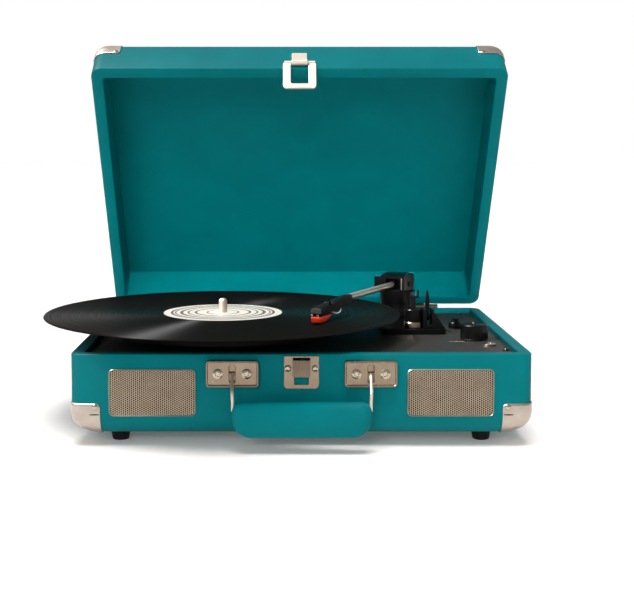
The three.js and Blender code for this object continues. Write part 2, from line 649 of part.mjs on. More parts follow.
// The loop hangs straight down from its pin at the origin before it is tilted.
function latchLoop() {
  const half = LATCH.w / 2;
  const low = -LATCH.drop;
  const pin = rod(1.3, vec(-half, 0, 0), vec(half, 0, 0));
  const outline = polygon([-half, 0.6], [-half, low + 4], [-half + 4, low], [half - 4, low]);
  outline.lineTo(half, low + 4);
  outline.lineTo(half, 0.6);
  const frame = prism(outline, 'y', [-0.6, 0.6]);
  const window = box([-7.6, 7.6], [-3, 3], [-LATCH.window, 3]);
  const lip = box([-half + 4, half - 4], [-3.4, 0.6], [low, low + 1.2]);
  const loop = join(cut(frame, window), pin, lip).rotateX(rad(LATCH.tilt));
  return loop.translate(0, LID_MID - CASE_D / 2 - LATCH.out, SEAM + LATCH.up);
}

function latchCatch() {
  const plate = box([-LATCH.catchW / 2, LATCH.catchW / 2], [FRONT_Y - 1.1, FRONT_Y - FIT], [RIM_Z - 26.8, RIM_Z - 1.4]);
  const [head, foot] = [RIM_Z - 3.2, RIM_Z - 16.3];
  const side = polygon([FRONT_Y - 1, head], [FRONT_Y - 1, foot], [FRONT_Y - 4.6, foot]);
  side.lineTo(FRONT_Y - 3, RIM_Z - 5);
  const tongue = prism(side, 'x', [-6.65, 6.65]);
  const window = box([-5.55, 5.55], [FRONT_Y - 3, FRONT_Y + 1], [RIM_Z - 23.4, RIM_Z - 18]);
  return cut(join(plate, tongue), window);
}

function buildLid() {
  player.add(lid);
  add(lid, 'lid_shell', lidShell().translate(0, LID_MID, SEAM), LEATHERETTE);
  for (const [place, sx, sy] of CORNERS) {
    const cap = cornerCap(LID_H, sx, -sy).rotateX(Math.PI).translate(0, LID_MID, LID_H + SEAM);
    add(lid, `lid_corner_${place}`, cap, NICKEL);
  }
  add(lid, 'latch_tab', latchTab(), NICKEL);
  add(lid, 'latch_loop', latchLoop(), NICKEL);
  add(player, 'latch_catch', latchCatch(), NICKEL);
}

buildCase();
buildDeck();
buildSpeakers();
buildElectronics();
buildKnobs();
buildPlatter();
buildMotor();
buildTonearm();
buildCueing();
buildHandle();
buildHinges();
buildLid();

// The origin is the middle of the whole machine's footprint, on the surface it stands on.
player.updateMatrixWorld(true);
const extent = new THREE.Box3().setFromObject(player, true);
const middle = extent.getCenter(new THREE.Vector3());
player.position.set(-middle.x, -middle.y, -extent.min.z);

export default player;
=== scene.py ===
import bmesh
import bpy
import json
import math
from mathutils import Matrix, Vector

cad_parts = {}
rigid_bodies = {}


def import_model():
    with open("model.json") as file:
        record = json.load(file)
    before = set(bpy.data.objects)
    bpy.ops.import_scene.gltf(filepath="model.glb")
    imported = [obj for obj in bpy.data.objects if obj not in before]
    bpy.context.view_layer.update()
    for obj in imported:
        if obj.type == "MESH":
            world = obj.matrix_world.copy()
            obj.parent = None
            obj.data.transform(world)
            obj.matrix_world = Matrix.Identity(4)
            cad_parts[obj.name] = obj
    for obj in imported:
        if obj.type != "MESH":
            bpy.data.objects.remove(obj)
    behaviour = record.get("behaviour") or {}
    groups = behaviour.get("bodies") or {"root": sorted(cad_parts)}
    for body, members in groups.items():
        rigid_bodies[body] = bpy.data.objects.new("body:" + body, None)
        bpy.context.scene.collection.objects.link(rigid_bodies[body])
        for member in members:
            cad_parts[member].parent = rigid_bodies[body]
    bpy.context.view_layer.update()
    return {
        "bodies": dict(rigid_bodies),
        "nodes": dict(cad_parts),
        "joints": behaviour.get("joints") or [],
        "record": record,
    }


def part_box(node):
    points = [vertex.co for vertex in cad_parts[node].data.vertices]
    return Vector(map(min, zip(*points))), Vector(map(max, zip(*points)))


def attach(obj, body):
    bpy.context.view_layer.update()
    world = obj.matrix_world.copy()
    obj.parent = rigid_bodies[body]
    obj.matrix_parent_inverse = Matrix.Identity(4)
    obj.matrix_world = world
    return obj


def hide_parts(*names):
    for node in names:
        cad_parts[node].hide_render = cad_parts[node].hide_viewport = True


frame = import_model()

# Lengths below are in millimetres. A piece is drawn in the frame of its body and placed by one matrix.
MM = 0.001
WALL = 10
LID_OPEN = 56
LID_HEIGHT = 50
LID_PANEL = 12
SEAM = 0.3
HINGE_OUT = 3.5
EDGE_R = 18
UPRIGHT_R = 9
RIM_R = 1.1
CORNER_LEG = 23
CORNER_UP = 25.5
ARM_ANGLE = 26.2


def middle(node):
    low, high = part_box(node)
    return (low + high) / 2 / MM


def low_of(node):
    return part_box(node)[0].z / MM


def top_of(node):
    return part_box(node)[1].z / MM


def size(node):
    low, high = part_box(node)
    return (high - low) / MM


def place(x, y, z, axis="Z", degrees=0):
    return Matrix.Translation(Vector((x, y, z)) * MM) @ Matrix.Rotation(math.radians(degrees), 4, axis)


TUB = size("base_tub")
HALF_X = TUB.x / 2
HALF_Y = TUB.y / 2
CENTRE = middle("base_tub")
FOOT = low_of("base_tub")
RIM = top_of("base_tub")
DECK = top_of("deck_plate")
HINGE = middle("hinge_pin_left")
PIVOT = middle("tonearm_column")
ARM_Z = middle("arm_tube").z
DISC = middle("record")
DISC_TOP = top_of("record")
DISC_R = size("record").x / 2
SPINDLE_R = size("spindle").x / 2
CORNERS = [("front_left", -1, -1), ("front_right", 1, -1), ("rear_left", -1, 1), ("rear_right", 1, 1)]

CASE = place(CENTRE.x, CENTRE.y, 0)
LID = place(CENTRE.x, HINGE.y, HINGE.z, "X", -LID_OPEN)
ARM = place(PIVOT.x, PIVOT.y, ARM_Z, "Z", -ARM_ANGLE)
TURNTABLE = place(DISC.x, DISC.y, DISC_TOP)


# ---------------------------------------------------------------- mesh parts: (points, faces)
def merge(*parts):
    points, faces = [], []
    for more_points, more_faces in parts:
        start = len(points)
        points.extend(more_points)
        faces.extend([[start + i for i in face] for face in more_faces])
    return points, faces


def moved(part, x=0, y=0, z=0, axis="Z", degrees=0):
    turn = Matrix.Translation((x, y, z)) @ Matrix.Rotation(math.radians(degrees), 4, axis)
    return [tuple(turn @ Vector(p)) for p in part[0]], part[1]


def facing_front(part, x=0, y=0, z=0):
    """A part drawn flat, its top up, stood up so that its top faces the front."""
    return [(x + px, y - pz, z + py) for px, py, pz in part[0]], part[1]


def loft(rings, start=True, end=True, around=True):
    """Skin over rings of equal length, each one a list of points."""
    n = len(rings[0])
    points = [p for ring in rings for p in ring]
    faces = []
    last = n if around else n - 1
    for row in range(len(rings) - 1):
        for i in range(last):
            j = (i + 1) % n
            a, b = row * n, (row + 1) * n
            faces.append([a + i, a + j, b + j, b + i])
    if start:
        faces.append(list(range(n))[::-1])
    if end:
        faces.append([(len(rings) - 1) * n + i for i in range(n)])
    return points, faces


def round_rect(half_x, half_y, radius, steps=5, x=0, y=0):
    """A round rectangle. radius is one number, or four from the corner (+x, +y) on, anticlockwise."""
    corners = radius if isinstance(radius, tuple) else (radius,) * 4
    points = []
    for k, (sx, sy) in enumerate([(1, 1), (-1, 1), (-1, -1), (1, -1)]):
        r = max(0.01, min(corners[k], half_x, half_y))
        for i in range(steps + 1):
            a = math.radians(90 * k + 90 * i / steps)
            px = sx * (half_x - r) + r * math.cos(a)
            py = sy * (half_y - r) + r * math.sin(a)
            points.append((x + px, y + py))
    return points


def at_height(outline, z):
    return [(x, y, z) for x, y in outline]


def plate(half_x, half_y, radius, thick, bevel=0.4, steps=5):
    """A flat plate from z = 0 up to thick with softened top edges."""
    rings = [at_height(round_rect(half_x, half_y, radius, steps), 0)]
    for i in range(4):
        a = math.radians(30 * i)
        inset = bevel * (1 - math.cos(a))
        outline = round_rect(half_x - inset, half_y - inset, radius - inset, steps)
        rings.append(at_height(outline, thick - bevel + bevel * math.sin(a)))
    return loft(rings)


def window_plate(outer, inner, thick, bevel=0.3):
    """A plate between two round rectangles, each given as (half_x, half_y, radius, x, y)."""
    def ring(shape, grow, z):
        half_x, half_y, radius, x, y = shape
        corners = radius if isinstance(radius, tuple) else (radius,) * 4
        grown = tuple(r + grow for r in corners)
        return at_height(round_rect(half_x + grow, half_y + grow, grown, 5, x, y), z)
    rings = [
        ring(inner, 0, 0), ring(outer, 0, 0), ring(outer, 0, thick - bevel), ring(outer, -bevel, thick),
        ring(inner, bevel, thick), ring(inner, 0, thick - bevel), ring(inner, 0, 0),
    ]
    return loft(rings, start=False, end=False)


def lathe(profile, steps=32, x=0, y=0):
    """A profile of (radius, height) turned about a vertical line. Ends on the axis are closed to a point."""
    rings = []
    for radius, z in profile:
        turn = [2 * math.pi * i / steps for i in range(steps)]
        rings.append([(x + radius * math.cos(a), y + radius * math.sin(a), z) for a in turn])
    start = profile[0][0] > 0
    end = profile[-1][0] > 0
    return loft(rings, start, end)


def ring_profile(inner, outer, low, high, soft=0.3):
    return [
        (inner, low), (outer - soft, low), (outer, low + soft), (outer, high - soft),
        (outer - soft, high), (inner, high), (inner, low),
    ]


def turned_ring(inner, outer, low, high, soft=0.3, steps=48, x=0, y=0):
    profile = ring_profile(inner, outer, low, high, soft)
    points, faces = lathe(profile, steps, x, y)
    return points, [face for face in faces if len(face) == 4]


def dome(radius, height, steps=20, rows=4):
    profile = [(radius, 0)]
    for i in range(1, rows):
        a = math.radians(90 * i / rows)
        profile.append((radius * math.cos(a), height * math.sin(a)))
    return lathe(profile + [(0, height)], steps)


def tube(path, radius, steps=12):
    """A round bar along a list of points, with flat ends."""
    points = [Vector(p) for p in path]
    rings = []
    side = None
    for i, point in enumerate(points):
        ahead = points[min(i + 1, len(points) - 1)] - points[max(i - 1, 0)]
        ahead.normalize()
        if side is None:
            side = ahead.orthogonal().normalized()
        side = (side - ahead * side.dot(ahead)).normalized()
        up = ahead.cross(side)
        turn = [2 * math.pi * k / steps for k in range(steps)]
        rings.append([tuple(point + (side * math.cos(a) + up * math.sin(a)) * radius) for a in turn])
    return loft(rings)


def block(x, y, z, soft=0.3):
    """A box between pairs of limits with rounded upright edges and softened rims."""
    half_x = (x[1] - x[0]) / 2
    half_y = (y[1] - y[0]) / 2
    mid_x = (x[1] + x[0]) / 2
    mid_y = (y[1] + y[0]) / 2
    rings = []
    for inset, height in [(soft, z[0]), (0, z[0] + soft), (0, z[1] - soft), (soft, z[1])]:
        outline = round_rect(half_x - inset, half_y - inset, max(soft - inset, 0.02) + soft, 3, mid_x,
                             mid_y)
        rings.append(at_height(outline, height))
    return loft(rings)


def side_cut(outline, low, high, soft=0.3):
    """An outline in Y and Z carried along X with softened rims."""
    mid_y = sum(p[0] for p in outline) / len(outline)
    mid_z = sum(p[1] for p in outline) / len(outline)
    rings = []
    for inset, x in [(soft, low), (0, low + soft), (0, high - soft), (soft, high)]:
        ring = []
        for y, z in outline:
            away = Vector((y - mid_y, z - mid_z))
            away -= away.normalized() * inset
            ring.append((x, mid_y + away.x, mid_z + away.y))
        rings.append(ring)
    return loft(rings)


def spline(points, per=6):
    """Points on a smooth curve through the given points."""
    pts = [Vector(p) for p in points]
    pts = [pts[0] * 2 - pts[1]] + pts + [pts[-1] * 2 - pts[-2]]
    out = []
    for i in range(1, len(pts) - 2):
        a, b, c, d = pts[i - 1:i + 3]
        for k in range(per):
            t = k / per
            curve = 2 * b + (c - a) * t + (2 * a - 5 * b + 4 * c - d) * t * t
            out.append((curve + (3 * b - a - 3 * c + d) * t ** 3) / 2)
    return out + [pts[-2]]


def piece(name, part, material, body, at=CASE, replaces=(), smooth=32):
    points, faces = part
    mesh = bpy.data.meshes.new(name)
    mesh.from_pydata([Vector(p) * MM for p in points], [], faces)
    mesh.validate()
    mesh.polygons.foreach_set("use_smooth", [True] * len(mesh.polygons))
    mesh.set_sharp_from_angle(angle=math.radians(smooth))
    mesh.materials.append(material)
    obj = bpy.data.objects.new(name, mesh)
    bpy.context.scene.collection.objects.link(obj)
    obj.matrix_world = at
    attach(obj, body)
    if replaces:
        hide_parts(*replaces)
    return obj


# ---------------------------------------------------------------- materials
class Look:
    """A Principled material with small helpers for its texture nodes. Texture sizes are in millimetres."""

    def __init__(self, name, colour, **inputs):
        self.material = bpy.data.materials.new(name)
        self.material.use_nodes = True
        self.nodes = self.material.node_tree.nodes
        self.links = self.material.node_tree.links
        self.shader = self.nodes["Principled BSDF"]
        self.shader.inputs["Base Color"].default_value = (*colour, 1)
        for key, value in inputs.items():
            self.shader.inputs[key.replace("_", " ").title().replace("Ior", "IOR")].default_value = value
        self.coords = self.nodes.new("ShaderNodeTexCoord")

    def link(self, out, into):
        self.links.new(out, into)
        return out

    def stretched(self, scale):
        mapping = self.nodes.new("ShaderNodeMapping")
        mapping.inputs["Scale"].default_value = scale
        self.link(self.coords.outputs["Object"], mapping.inputs["Vector"])
        return mapping.outputs["Vector"]

    def noise(self, millimetres, detail=3, stretch=(1, 1, 1)):
        node = self.nodes.new("ShaderNodeTexNoise")
        node.inputs["Scale"].default_value = 1 / (millimetres * MM)
        node.inputs["Detail"].default_value = detail
        self.link(self.stretched(stretch), node.inputs["Vector"])
        return node.outputs["Fac"]

    def cells(self, millimetres, feature="F1", randomness=1.0):
        node = self.nodes.new("ShaderNodeTexVoronoi")
        node.feature = feature
        node.inputs["Scale"].default_value = 1 / (millimetres * MM)
        node.inputs["Randomness"].default_value = randomness
        self.link(self.coords.outputs["Object"], node.inputs["Vector"])
        return node.outputs["Distance"]

    def radius(self):
        """Distance from the object's own upright axis, in metres."""
        flat = self.nodes.new("ShaderNodeVectorMath")
        flat.operation = "MULTIPLY"
        flat.inputs[1].default_value = (1, 1, 0)
        self.link(self.coords.outputs["Object"], flat.inputs[0])
        length = self.nodes.new("ShaderNodeVectorMath")
        length.operation = "LENGTH"
        self.link(flat.outputs[0], length.inputs[0])
        return length.outputs["Value"]

    def math(self, operation, a, b=0.0):
        node = self.nodes.new("ShaderNodeMath")
        node.operation = operation
        for socket, value in zip(node.inputs, (a, b)):
            if isinstance(value, (int, float)):
                socket.default_value = value
            else:
                self.link(value, socket)
        return node.outputs["Value"]

    def ramp(self, factor, *stops, sharp=False):
        node = self.nodes.new("ShaderNodeValToRGB")
        node.color_ramp.interpolation = "CONSTANT" if sharp else "LINEAR"
        elements = node.color_ramp.elements
        while len(elements) < len(stops):
            elements.new(0.5)
        for element, (position, colour) in zip(elements, stops):
            element.position = position
            element.color = (*colour, 1)
        self.link(factor, node.inputs["Fac"])
        return node.outputs["Color"]

    def colour(self, out):
        self.link(out, self.shader.inputs["Base Color"])
        return self

    def rough(self, factor, low, high):
        node = self.nodes.new("ShaderNodeMapRange")
        node.inputs["To Min"].default_value = low
        node.inputs["To Max"].default_value = high
        self.link(factor, node.inputs["Value"])
        self.link(node.outputs["Result"], self.shader.inputs["Roughness"])
        return self

    def bump(self, height, strength, millimetres):
        node = self.nodes.new("ShaderNodeBump")
        node.inputs["Strength"].default_value = strength
        node.inputs["Distance"].default_value = millimetres * MM
        self.link(height, node.inputs["Height"])
        if self.shader.inputs["Normal"].is_linked:
            self.link(self.shader.inputs["Normal"].links[0].from_socket, node.inputs["Normal"])
        self.link(node.outputs["Normal"], self.shader.inputs["Normal"])
        return self


def linear(red, green, blue):
    """A colour given as screen values from 0 to 255."""
    def one(value):
        value /= 255
        return value / 12.92 if value <= 0.04045 else ((value + 0.055) / 1.055) ** 2.4
    return one(red), one(green), one(blue)


def leatherette(name, main, light):
    look = Look(name, linear(*main), roughness=0.6, specular_ior_level=0.06)
    look.colour(look.ramp(look.noise(35, 4), (0.3, linear(*main)), (0.75, linear(*light))))
    look.rough(look.noise(1.4, 2), 0.44, 0.6)
    look.bump(look.cells(0.75, "SMOOTH_F1"), 0.32, 0.07)
    look.bump(look.noise(0.35, 2), 0.2, 0.03)
    return look.material


def pressed_metal(name, colour, warm, low=0.24, high=0.38, metallic=1.0):
    look = Look(name, linear(*colour), metallic=metallic, roughness=0.3)
    look.colour(look.ramp(look.noise(9, 3), (0.35, linear(*warm)), (0.7, linear(*colour))))
    look.rough(look.noise(2.5, 4), low, high)
    look.bump(look.noise(6, 2), 0.08, 0.05)
    return look.material


def plastic(name, colour, worn, roughness=0.4, grain=0.5, shine=0.3):
    look = Look(name, linear(*colour), roughness=roughness, specular_ior_level=shine)
    look.colour(look.ramp(look.noise(14, 4), (0.35, linear(*colour)), (0.8, linear(*worn))))
    look.rough(look.noise(3, 4), roughness - 0.07, roughness + 0.08)
    look.bump(look.noise(grain, 3), 0.18, 0.05)
    return look.material


def vinyl():
    look = Look("vinyl", linear(22, 20, 18), roughness=0.55, anisotropic=1.0, anisotropic_rotation=0.25,
                ior=1.12)
    around = look.nodes.new("ShaderNodeTangent")
    around.direction_type = "RADIAL"
    around.axis = "Z"
    look.link(around.outputs["Tangent"], look.shader.inputs["Tangent"])
    radius = look.radius()
    bands = look.nodes.new("ShaderNodeTexNoise")
    bands.noise_dimensions = "1D"
    bands.inputs["Scale"].default_value = 500
    bands.inputs["Detail"].default_value = 5
    look.link(radius, bands.inputs["W"])
    look.rough(bands.outputs["Fac"], 0.36, 0.6)
    grooves = look.math("SINE", look.math("MULTIPLY", radius, 2 * math.pi / (0.55 * MM)))
    look.bump(grooves, 0.1, 0.02)
    look.bump(bands.outputs["Fac"], 0.25, 0.05)
    return look.material


def label_paper(radius_mm, rings):
    """Cream paper with printed dark rings, given as (share of the radius, width in mm)."""
    cream = (0.86, 0.78, 0.68)
    ink = (0.06, 0.05, 0.045)
    look = Look("label_paper", cream, roughness=0.55)
    share = look.math("DIVIDE", look.radius(), radius_mm * MM)
    total = 0.0
    for at, width in rings:
        near = look.math("ABSOLUTE", look.math("SUBTRACT", share, at))
        line = look.math("LESS_THAN", near, width / 2 / radius_mm)
        total = line if isinstance(total, float) else look.math("MAXIMUM", total, line)
    look.colour(look.ramp(total, (0.0, cream), (1.0, ink)))
    look.bump(look.noise(0.4, 4), 0.12, 0.03)
    return look.material


TEAL = leatherette("teal_leatherette", (0, 106, 111), (0, 113, 118))
NICKEL = pressed_metal("pressed_nickel", (158, 143, 124), (148, 132, 113), 0.24, 0.34)
CORNER_METAL = pressed_metal("corner_metal", (194, 184, 174), (184, 173, 162), 0.26, 0.4)
SCREW_METAL = pressed_metal("screw_metal", (206, 196, 180), (182, 170, 152), 0.14, 0.24)
GRILLE_METAL = pressed_metal("grille_metal", (196, 181, 159), (184, 168, 145), 0.3, 0.42)
DECK_BLACK = plastic("deck_black", (45, 42, 38), (53, 49, 45), 0.5, 0.35)
BLACK = plastic("moulded_black", (8, 7, 7), (14, 13, 13), 0.3, shine=0.2)
MATT_BLACK = plastic("matt_black", (6, 6, 6), (10, 9, 9), 0.55, shine=0.12)
GREY_PLASTIC = plastic("grey_plastic", (58, 56, 54), (68, 66, 63), 0.42)
RUBBER = plastic("black_rubber", (9, 9, 9), (16, 16, 16), 0.72, 0.8)
CLOTH = plastic("speaker_cloth", (10, 9, 9), (16, 15, 14), 0.85, 0.3)
ARM_METAL = pressed_metal("arm_metal", (232, 218, 204), (220, 205, 190), 0.36, 0.48)
BRIGHT_METAL = pressed_metal("bright_metal", (226, 212, 196), (216, 202, 186), 0.36, 0.46, 0.72)
ZINC = pressed_metal("zinc_plate", (176, 176, 172), (160, 160, 154), 0.3, 0.5)
BRASS = pressed_metal("brass", (206, 172, 104), (186, 150, 84), 0.22, 0.34)
BOARD_GREEN = plastic("board_green", (24, 84, 50), (34, 104, 62), 0.45)
PRINT_WHITE = plastic("print_white", (206, 202, 196), (220, 216, 210), 0.5)
PRINT_RED = plastic("print_red", (150, 30, 34), (168, 40, 42), 0.5)
STYLUS_RED = plastic("stylus_red", (226, 44, 10), (236, 66, 22), 0.28)
LED_RED = plastic("lamp_red", (64, 7, 8), (92, 13, 13), 0.2)
JACK_WHITE = plastic("jack_white", (214, 212, 206), (226, 224, 220), 0.4)
JACK_RED = plastic("jack_red", (176, 26, 24), (190, 38, 34), 0.4)
LEAD_RED = plastic("lead_red", (168, 30, 28), (180, 44, 40), 0.5)
LEAD_WHITE = plastic("lead_white", (206, 204, 198), (220, 218, 214), 0.5)
LEAD_GREEN = plastic("lead_green", (40, 120, 62), (52, 134, 72), 0.5)
LEAD_BLUE = plastic("lead_blue", (44, 78, 150), (56, 90, 160), 0.5)
VINYL = vinyl()


# ---------------------------------------------------------------- camera, floor and lights
def make_camera():
    data = bpy.data.cameras.new("view")
    data.sensor_width = 36
    data.lens = 69.69
    data.shift_x = 0.0545
    data.shift_y = -0.089
    camera = bpy.data.objects.new("view", data)
    bpy.context.scene.collection.objects.link(camera)
    camera.location = Vector((CENTRE.x - 14.6, CENTRE.y - 1063.1, 234)) * MM
    camera.rotation_euler = (math.radians(90 - 4.75), 0, 0)
    bpy.context.scene.camera = camera


def make_floor():
    look = Look("pale_floor", (0.92, 0.87, 0.85), roughness=0.75, specular_ior_level=0.1)
    look.shader.inputs["Emission Color"].default_value = (1, 0.985, 0.97, 1)
    look.shader.inputs["Emission Strength"].default_value = 0.1
    mesh = bpy.data.meshes.new("floor")
    reach = 12
    mesh.from_pydata([(-reach, -reach, 0), (reach, -reach, 0), (reach, reach, 0), (-reach, reach, 0)], [],
                     [[0, 1, 2, 3]])
    mesh.materials.append(look.material)
    floor = bpy.data.objects.new("floor", mesh)
    bpy.context.scene.collection.objects.link(floor)


def soft_light(name, at, aim, width, height, watts, colour=(1, 1, 1)):
    data = bpy.data.lights.new(name, "AREA")
    data.shape = "RECTANGLE"
    data.size = width
    data.size_y = height
    data.energy = watts
    data.color = colour
    light = bpy.data.objects.new(name, data)
    bpy.context.scene.collection.objects.link(light)
    light.location = at
    light.rotation_euler = (Vector(aim) - Vector(at)).to_track_quat("-Z", "Y").to_euler()
    return light


def make_world():
    """White behind the object, and a softer grey for the light the surroundings give."""
    world = bpy.data.worlds.new("studio")
    world.use_nodes = True
    tree = world.node_tree
    path = tree.nodes.new("ShaderNodeLightPath")
    strength = tree.nodes.new("ShaderNodeMapRange")
    strength.inputs["To Min"].default_value = 0.39
    strength.inputs["To Max"].default_value = 1.0
    background = tree.nodes["Background"]
    background.inputs["Color"].default_value = (1, 1, 1, 1)
    tree.links.new(path.outputs["Is Camera Ray"], strength.inputs["Value"])
    tree.links.new(strength.outputs["Result"], background.inputs["Strength"])
    bpy.context.scene.world = world


def sunlight(name, direction, strength, angle):
    """Daylight that models the surfaces without showing up as a reflection."""
    data = bpy.data.lights.new(name, "SUN")
    data.energy = strength
    data.angle = math.radians(angle)
    sun = bpy.data.objects.new(name, data)
    bpy.context.scene.collection.objects.link(sun)
    sun.rotation_euler = Vector(direction).to_track_quat("-Z", "Y").to_euler()
    sun.visible_glossy = False


def make_lights():
    bpy.context.scene.view_settings.view_transform = "Standard"
    make_world()
    sunlight("top_light", (0.05, 0.25, -1), 2.5, 26)
    sunlight("front_light", (0.24, 0.93, -0.37), 1.0, 20)
    lid_fill = soft_light("lid_fill", (0.0, -0.35, 0.4), (0.0, 0.125, 0.1), 0.36, 0.04, 0.17)
    lid_fill.data.spread = math.radians(25)
    lid_fill.visible_glossy = False
    streak = soft_light("left_key", (-0.9, -0.3, 1.3), (0, 0, 0.1), 0.3, 0.3, 165)
    streak.visible_diffuse = False


# ---------------------------------------------------------------- leatherette case and lid
def shell_levels(height):
    """(inset, height, corner radius) from the middle of the closed side up to the open rim."""
    levels = []
    for i in range(9):
        a = math.radians(90 * i / 8)
        inset = EDGE_R * (1 - math.sin(a))
        levels.append((inset, EDGE_R * (1 - math.cos(a)), UPRIGHT_R + 0.35 * inset))
    levels.append((0, height - RIM_R, UPRIGHT_R))
    return levels


def open_box(height, inner_levels):
    levels = shell_levels(height)
    for i in range(1, 4):
        a = math.radians(30 * i)
        levels.append((RIM_R * (1 - math.cos(a)), height - RIM_R * (1 - math.sin(a)), UPRIGHT_R))
    for i in range(3):
        a = math.radians(90 - 30 * i)
        levels.append((WALL - RIM_R * (1 - math.cos(a)), height - RIM_R * (1 - math.sin(a)), 3))
    levels.extend(inner_levels)
    return loft([at_height(round_rect(HALF_X - i, HALF_Y - i, r, 8), z) for i, z, r in levels])


def corner_cap(height, sx, sy):
    """A pressed cap over the corner (sx, sy) of a box whose closed side is at z = 0."""
    grow = 0.85
    leg = CORNER_LEG
    soft = 3.5
    columns = 7
    rows = [(leg - 0.15, 0)] + [(level[0], level[1]) for level in shell_levels(height)[:9]]
    grid = []
    for inset, z in rows:
        a = math.asin(max(0, min(1, 1 - inset / EDGE_R)))
        out = grow * math.sin(a)
        radius = min(UPRIGHT_R + 0.35 * inset + grow, leg - inset)
        grid.append(cap_row(leg, inset - out, radius, z - grow * math.cos(a), columns, soft, None))
    for i in range(1, 5):
        grid.append(cap_row(leg, -grow, UPRIGHT_R + grow, EDGE_R, columns, soft, (i / 4, CORNER_UP)))
    points, faces = loft(grid, start=False, end=False, around=False)
    points = [(sx * (HALF_X - x), sy * (HALF_Y - y), z) for x, y, z in points]
    if sx * sy > 0:
        faces = [face[::-1] for face in faces]
    return points, faces


def cap_row(leg, inset, radius, z, columns, soft, rise):
    """One row of a corner cap, from one free edge round the corner to the other."""
    def top(u):
        if rise is None:
            return z
        drop = soft - math.sqrt(max(0, soft ** 2 - (soft - min(u, soft)) ** 2))
        return z + rise[0] * (rise[1] - drop - z)
    straight = leg - inset - radius
    first = []
    for i in range(columns):
        u = straight * (i / columns) ** 1.6
        first.append((leg - u, inset, top(u)))
    arc = []
    for i in range(7):
        a = math.radians(90 * i / 6)
        arc.append((inset + radius * (1 - math.sin(a)), inset + radius * (1 - math.cos(a)), top(leg)))
    second = [(y, x, h) for x, y, h in first[::-1]]
    return first + arc + second


def shell_piece(name, part, body, at, node):
    return piece(name, part, TEAL, body, at, [node])


def make_case():
    base = open_box(TUB.z, [(WALL, DECK - FOOT - 3.2, 2), (WALL + 6, DECK - FOOT - 3.2, 2), (WALL + 6, 6, 2)])
    shell_piece("case_leatherette", moved(base, 0, 0, FOOT), "case", CASE, "base_tub")
    lid = open_box(LID_HEIGHT, [(WALL, LID_PANEL, 2)])
    flipped = moved(lid, 0, -HINGE.y + CENTRE.y, LID_HEIGHT + SEAM, "X", 180)
    shell_piece("lid_leatherette", flipped, "lid", LID, "lid_shell")


def make_corners():
    for place_name, sx, sy in CORNERS:
        cap = corner_cap(TUB.z, sx, sy)
        finish_cap(piece(f"base_cap_{place_name}", moved(cap, 0, 0, FOOT), CORNER_METAL, "case",
                         CASE,
                         [f"base_corner_{place_name}"]))
        cap = moved(corner_cap(LID_HEIGHT, sx, -sy), 0, -HINGE.y + CENTRE.y, LID_HEIGHT + SEAM, "X", 180)
        finish_cap(piece(f"lid_cap_{place_name}", cap, CORNER_METAL, "lid", LID,
                         [f"lid_corner_{place_name}"]))


def finish_cap(cap):
    solid = cap.modifiers.new("sheet", "SOLIDIFY")
    solid.thickness = 0.7 * MM
    solid.offset = -1


# ---------------------------------------------------------------- record and platter
LABEL_R = 50.4


def make_record():
    edge = DISC_R
    thick = size("record").z
    profile = [
        (SPINDLE_R, -0.35), (LABEL_R - 1, -0.35), (LABEL_R + 1.5, -0.5), (edge - 6, -0.5), (edge - 4, -0.1),
        (edge - 1.2, -0.05), (edge - 0.3, -0.3), (edge, -thick / 2), (edge - 0.3, 0.3 - thick),
        (edge - 4, 0.1 - thick),
        (edge - 6, 0.5 - thick), (LABEL_R + 1.5, 0.5 - thick), (LABEL_R - 1, 0.3 - thick),
        (SPINDLE_R, 0.3 - thick),
        (SPINDLE_R, -0.35),
    ]
    points, faces = lathe(profile, 180)
    disc = points, [face for face in faces if len(face) == 4]
    piece("record_vinyl", disc, VINYL, "platter", TURNTABLE, ["record"], smooth=50)
    rings = [(0.86, 2.2), (0.80, 1.1), (0.70, 2.6), (0.585, 1.4), (0.46, 2.0), (0.265, 1.5)]
    paper = label_paper(LABEL_R, rings)
    label = turned_ring(SPINDLE_R + 0.1, LABEL_R, -0.33, -0.12, 0.05, 96)
    piece("record_label", label, paper, "platter", TURNTABLE)
    under = turned_ring(SPINDLE_R + 0.1, LABEL_R, 0.02 - thick, 0.28 - thick, 0.05, 96)
    piece("record_label_under", under, paper, "platter", TURNTABLE)


# ---------------------------------------------------------------- pieces kept in the shape of their solids
def refined(node, material, body, bevel=0.35, smooth=32):
    """A welded, bevelled and smoothly shaded stand-in for a CAD node."""
    mesh = frame["nodes"][node].data.copy()
    mesh.name = f"{node}_fine"
    shape = bmesh.new()
    shape.from_mesh(mesh)
    bmesh.ops.remove_doubles(shape, verts=shape.verts, dist=0.001 * MM)
    flat = math.radians(1)
    bmesh.ops.dissolve_limit(shape, angle_limit=flat, verts=shape.verts, edges=shape.edges)
    shape.to_mesh(mesh)
    shape.free()
    for name in ("custom_normal", "sharp_face", "sharp_edge"):
        if name in mesh.attributes:
            mesh.attributes.remove(mesh.attributes[name])
    mesh.polygons.foreach_set("use_smooth", [True] * len(mesh.polygons))
    mesh.set_sharp_from_angle(angle=math.radians(smooth))
    mesh.materials.clear()
    mesh.materials.append(material)
    obj = bpy.data.objects.new(f"{node}_fine", mesh)
    bpy.context.scene.collection.objects.link(obj)
    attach(obj, body)
    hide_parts(node)
    if bevel:
        edge = obj.modifiers.new("edge", "BEVEL")
        edge.width = bevel * MM
        edge.segments = 2
        edge.limit_method = "ANGLE"
        edge.angle_limit = math.radians(smooth + 3)
        edge.harden_normals = True
    return obj


# ---------------------------------------------------------------- speaker grilles
HOLE = {"across": 1.585, "up": 1.73, "r": 0.71}


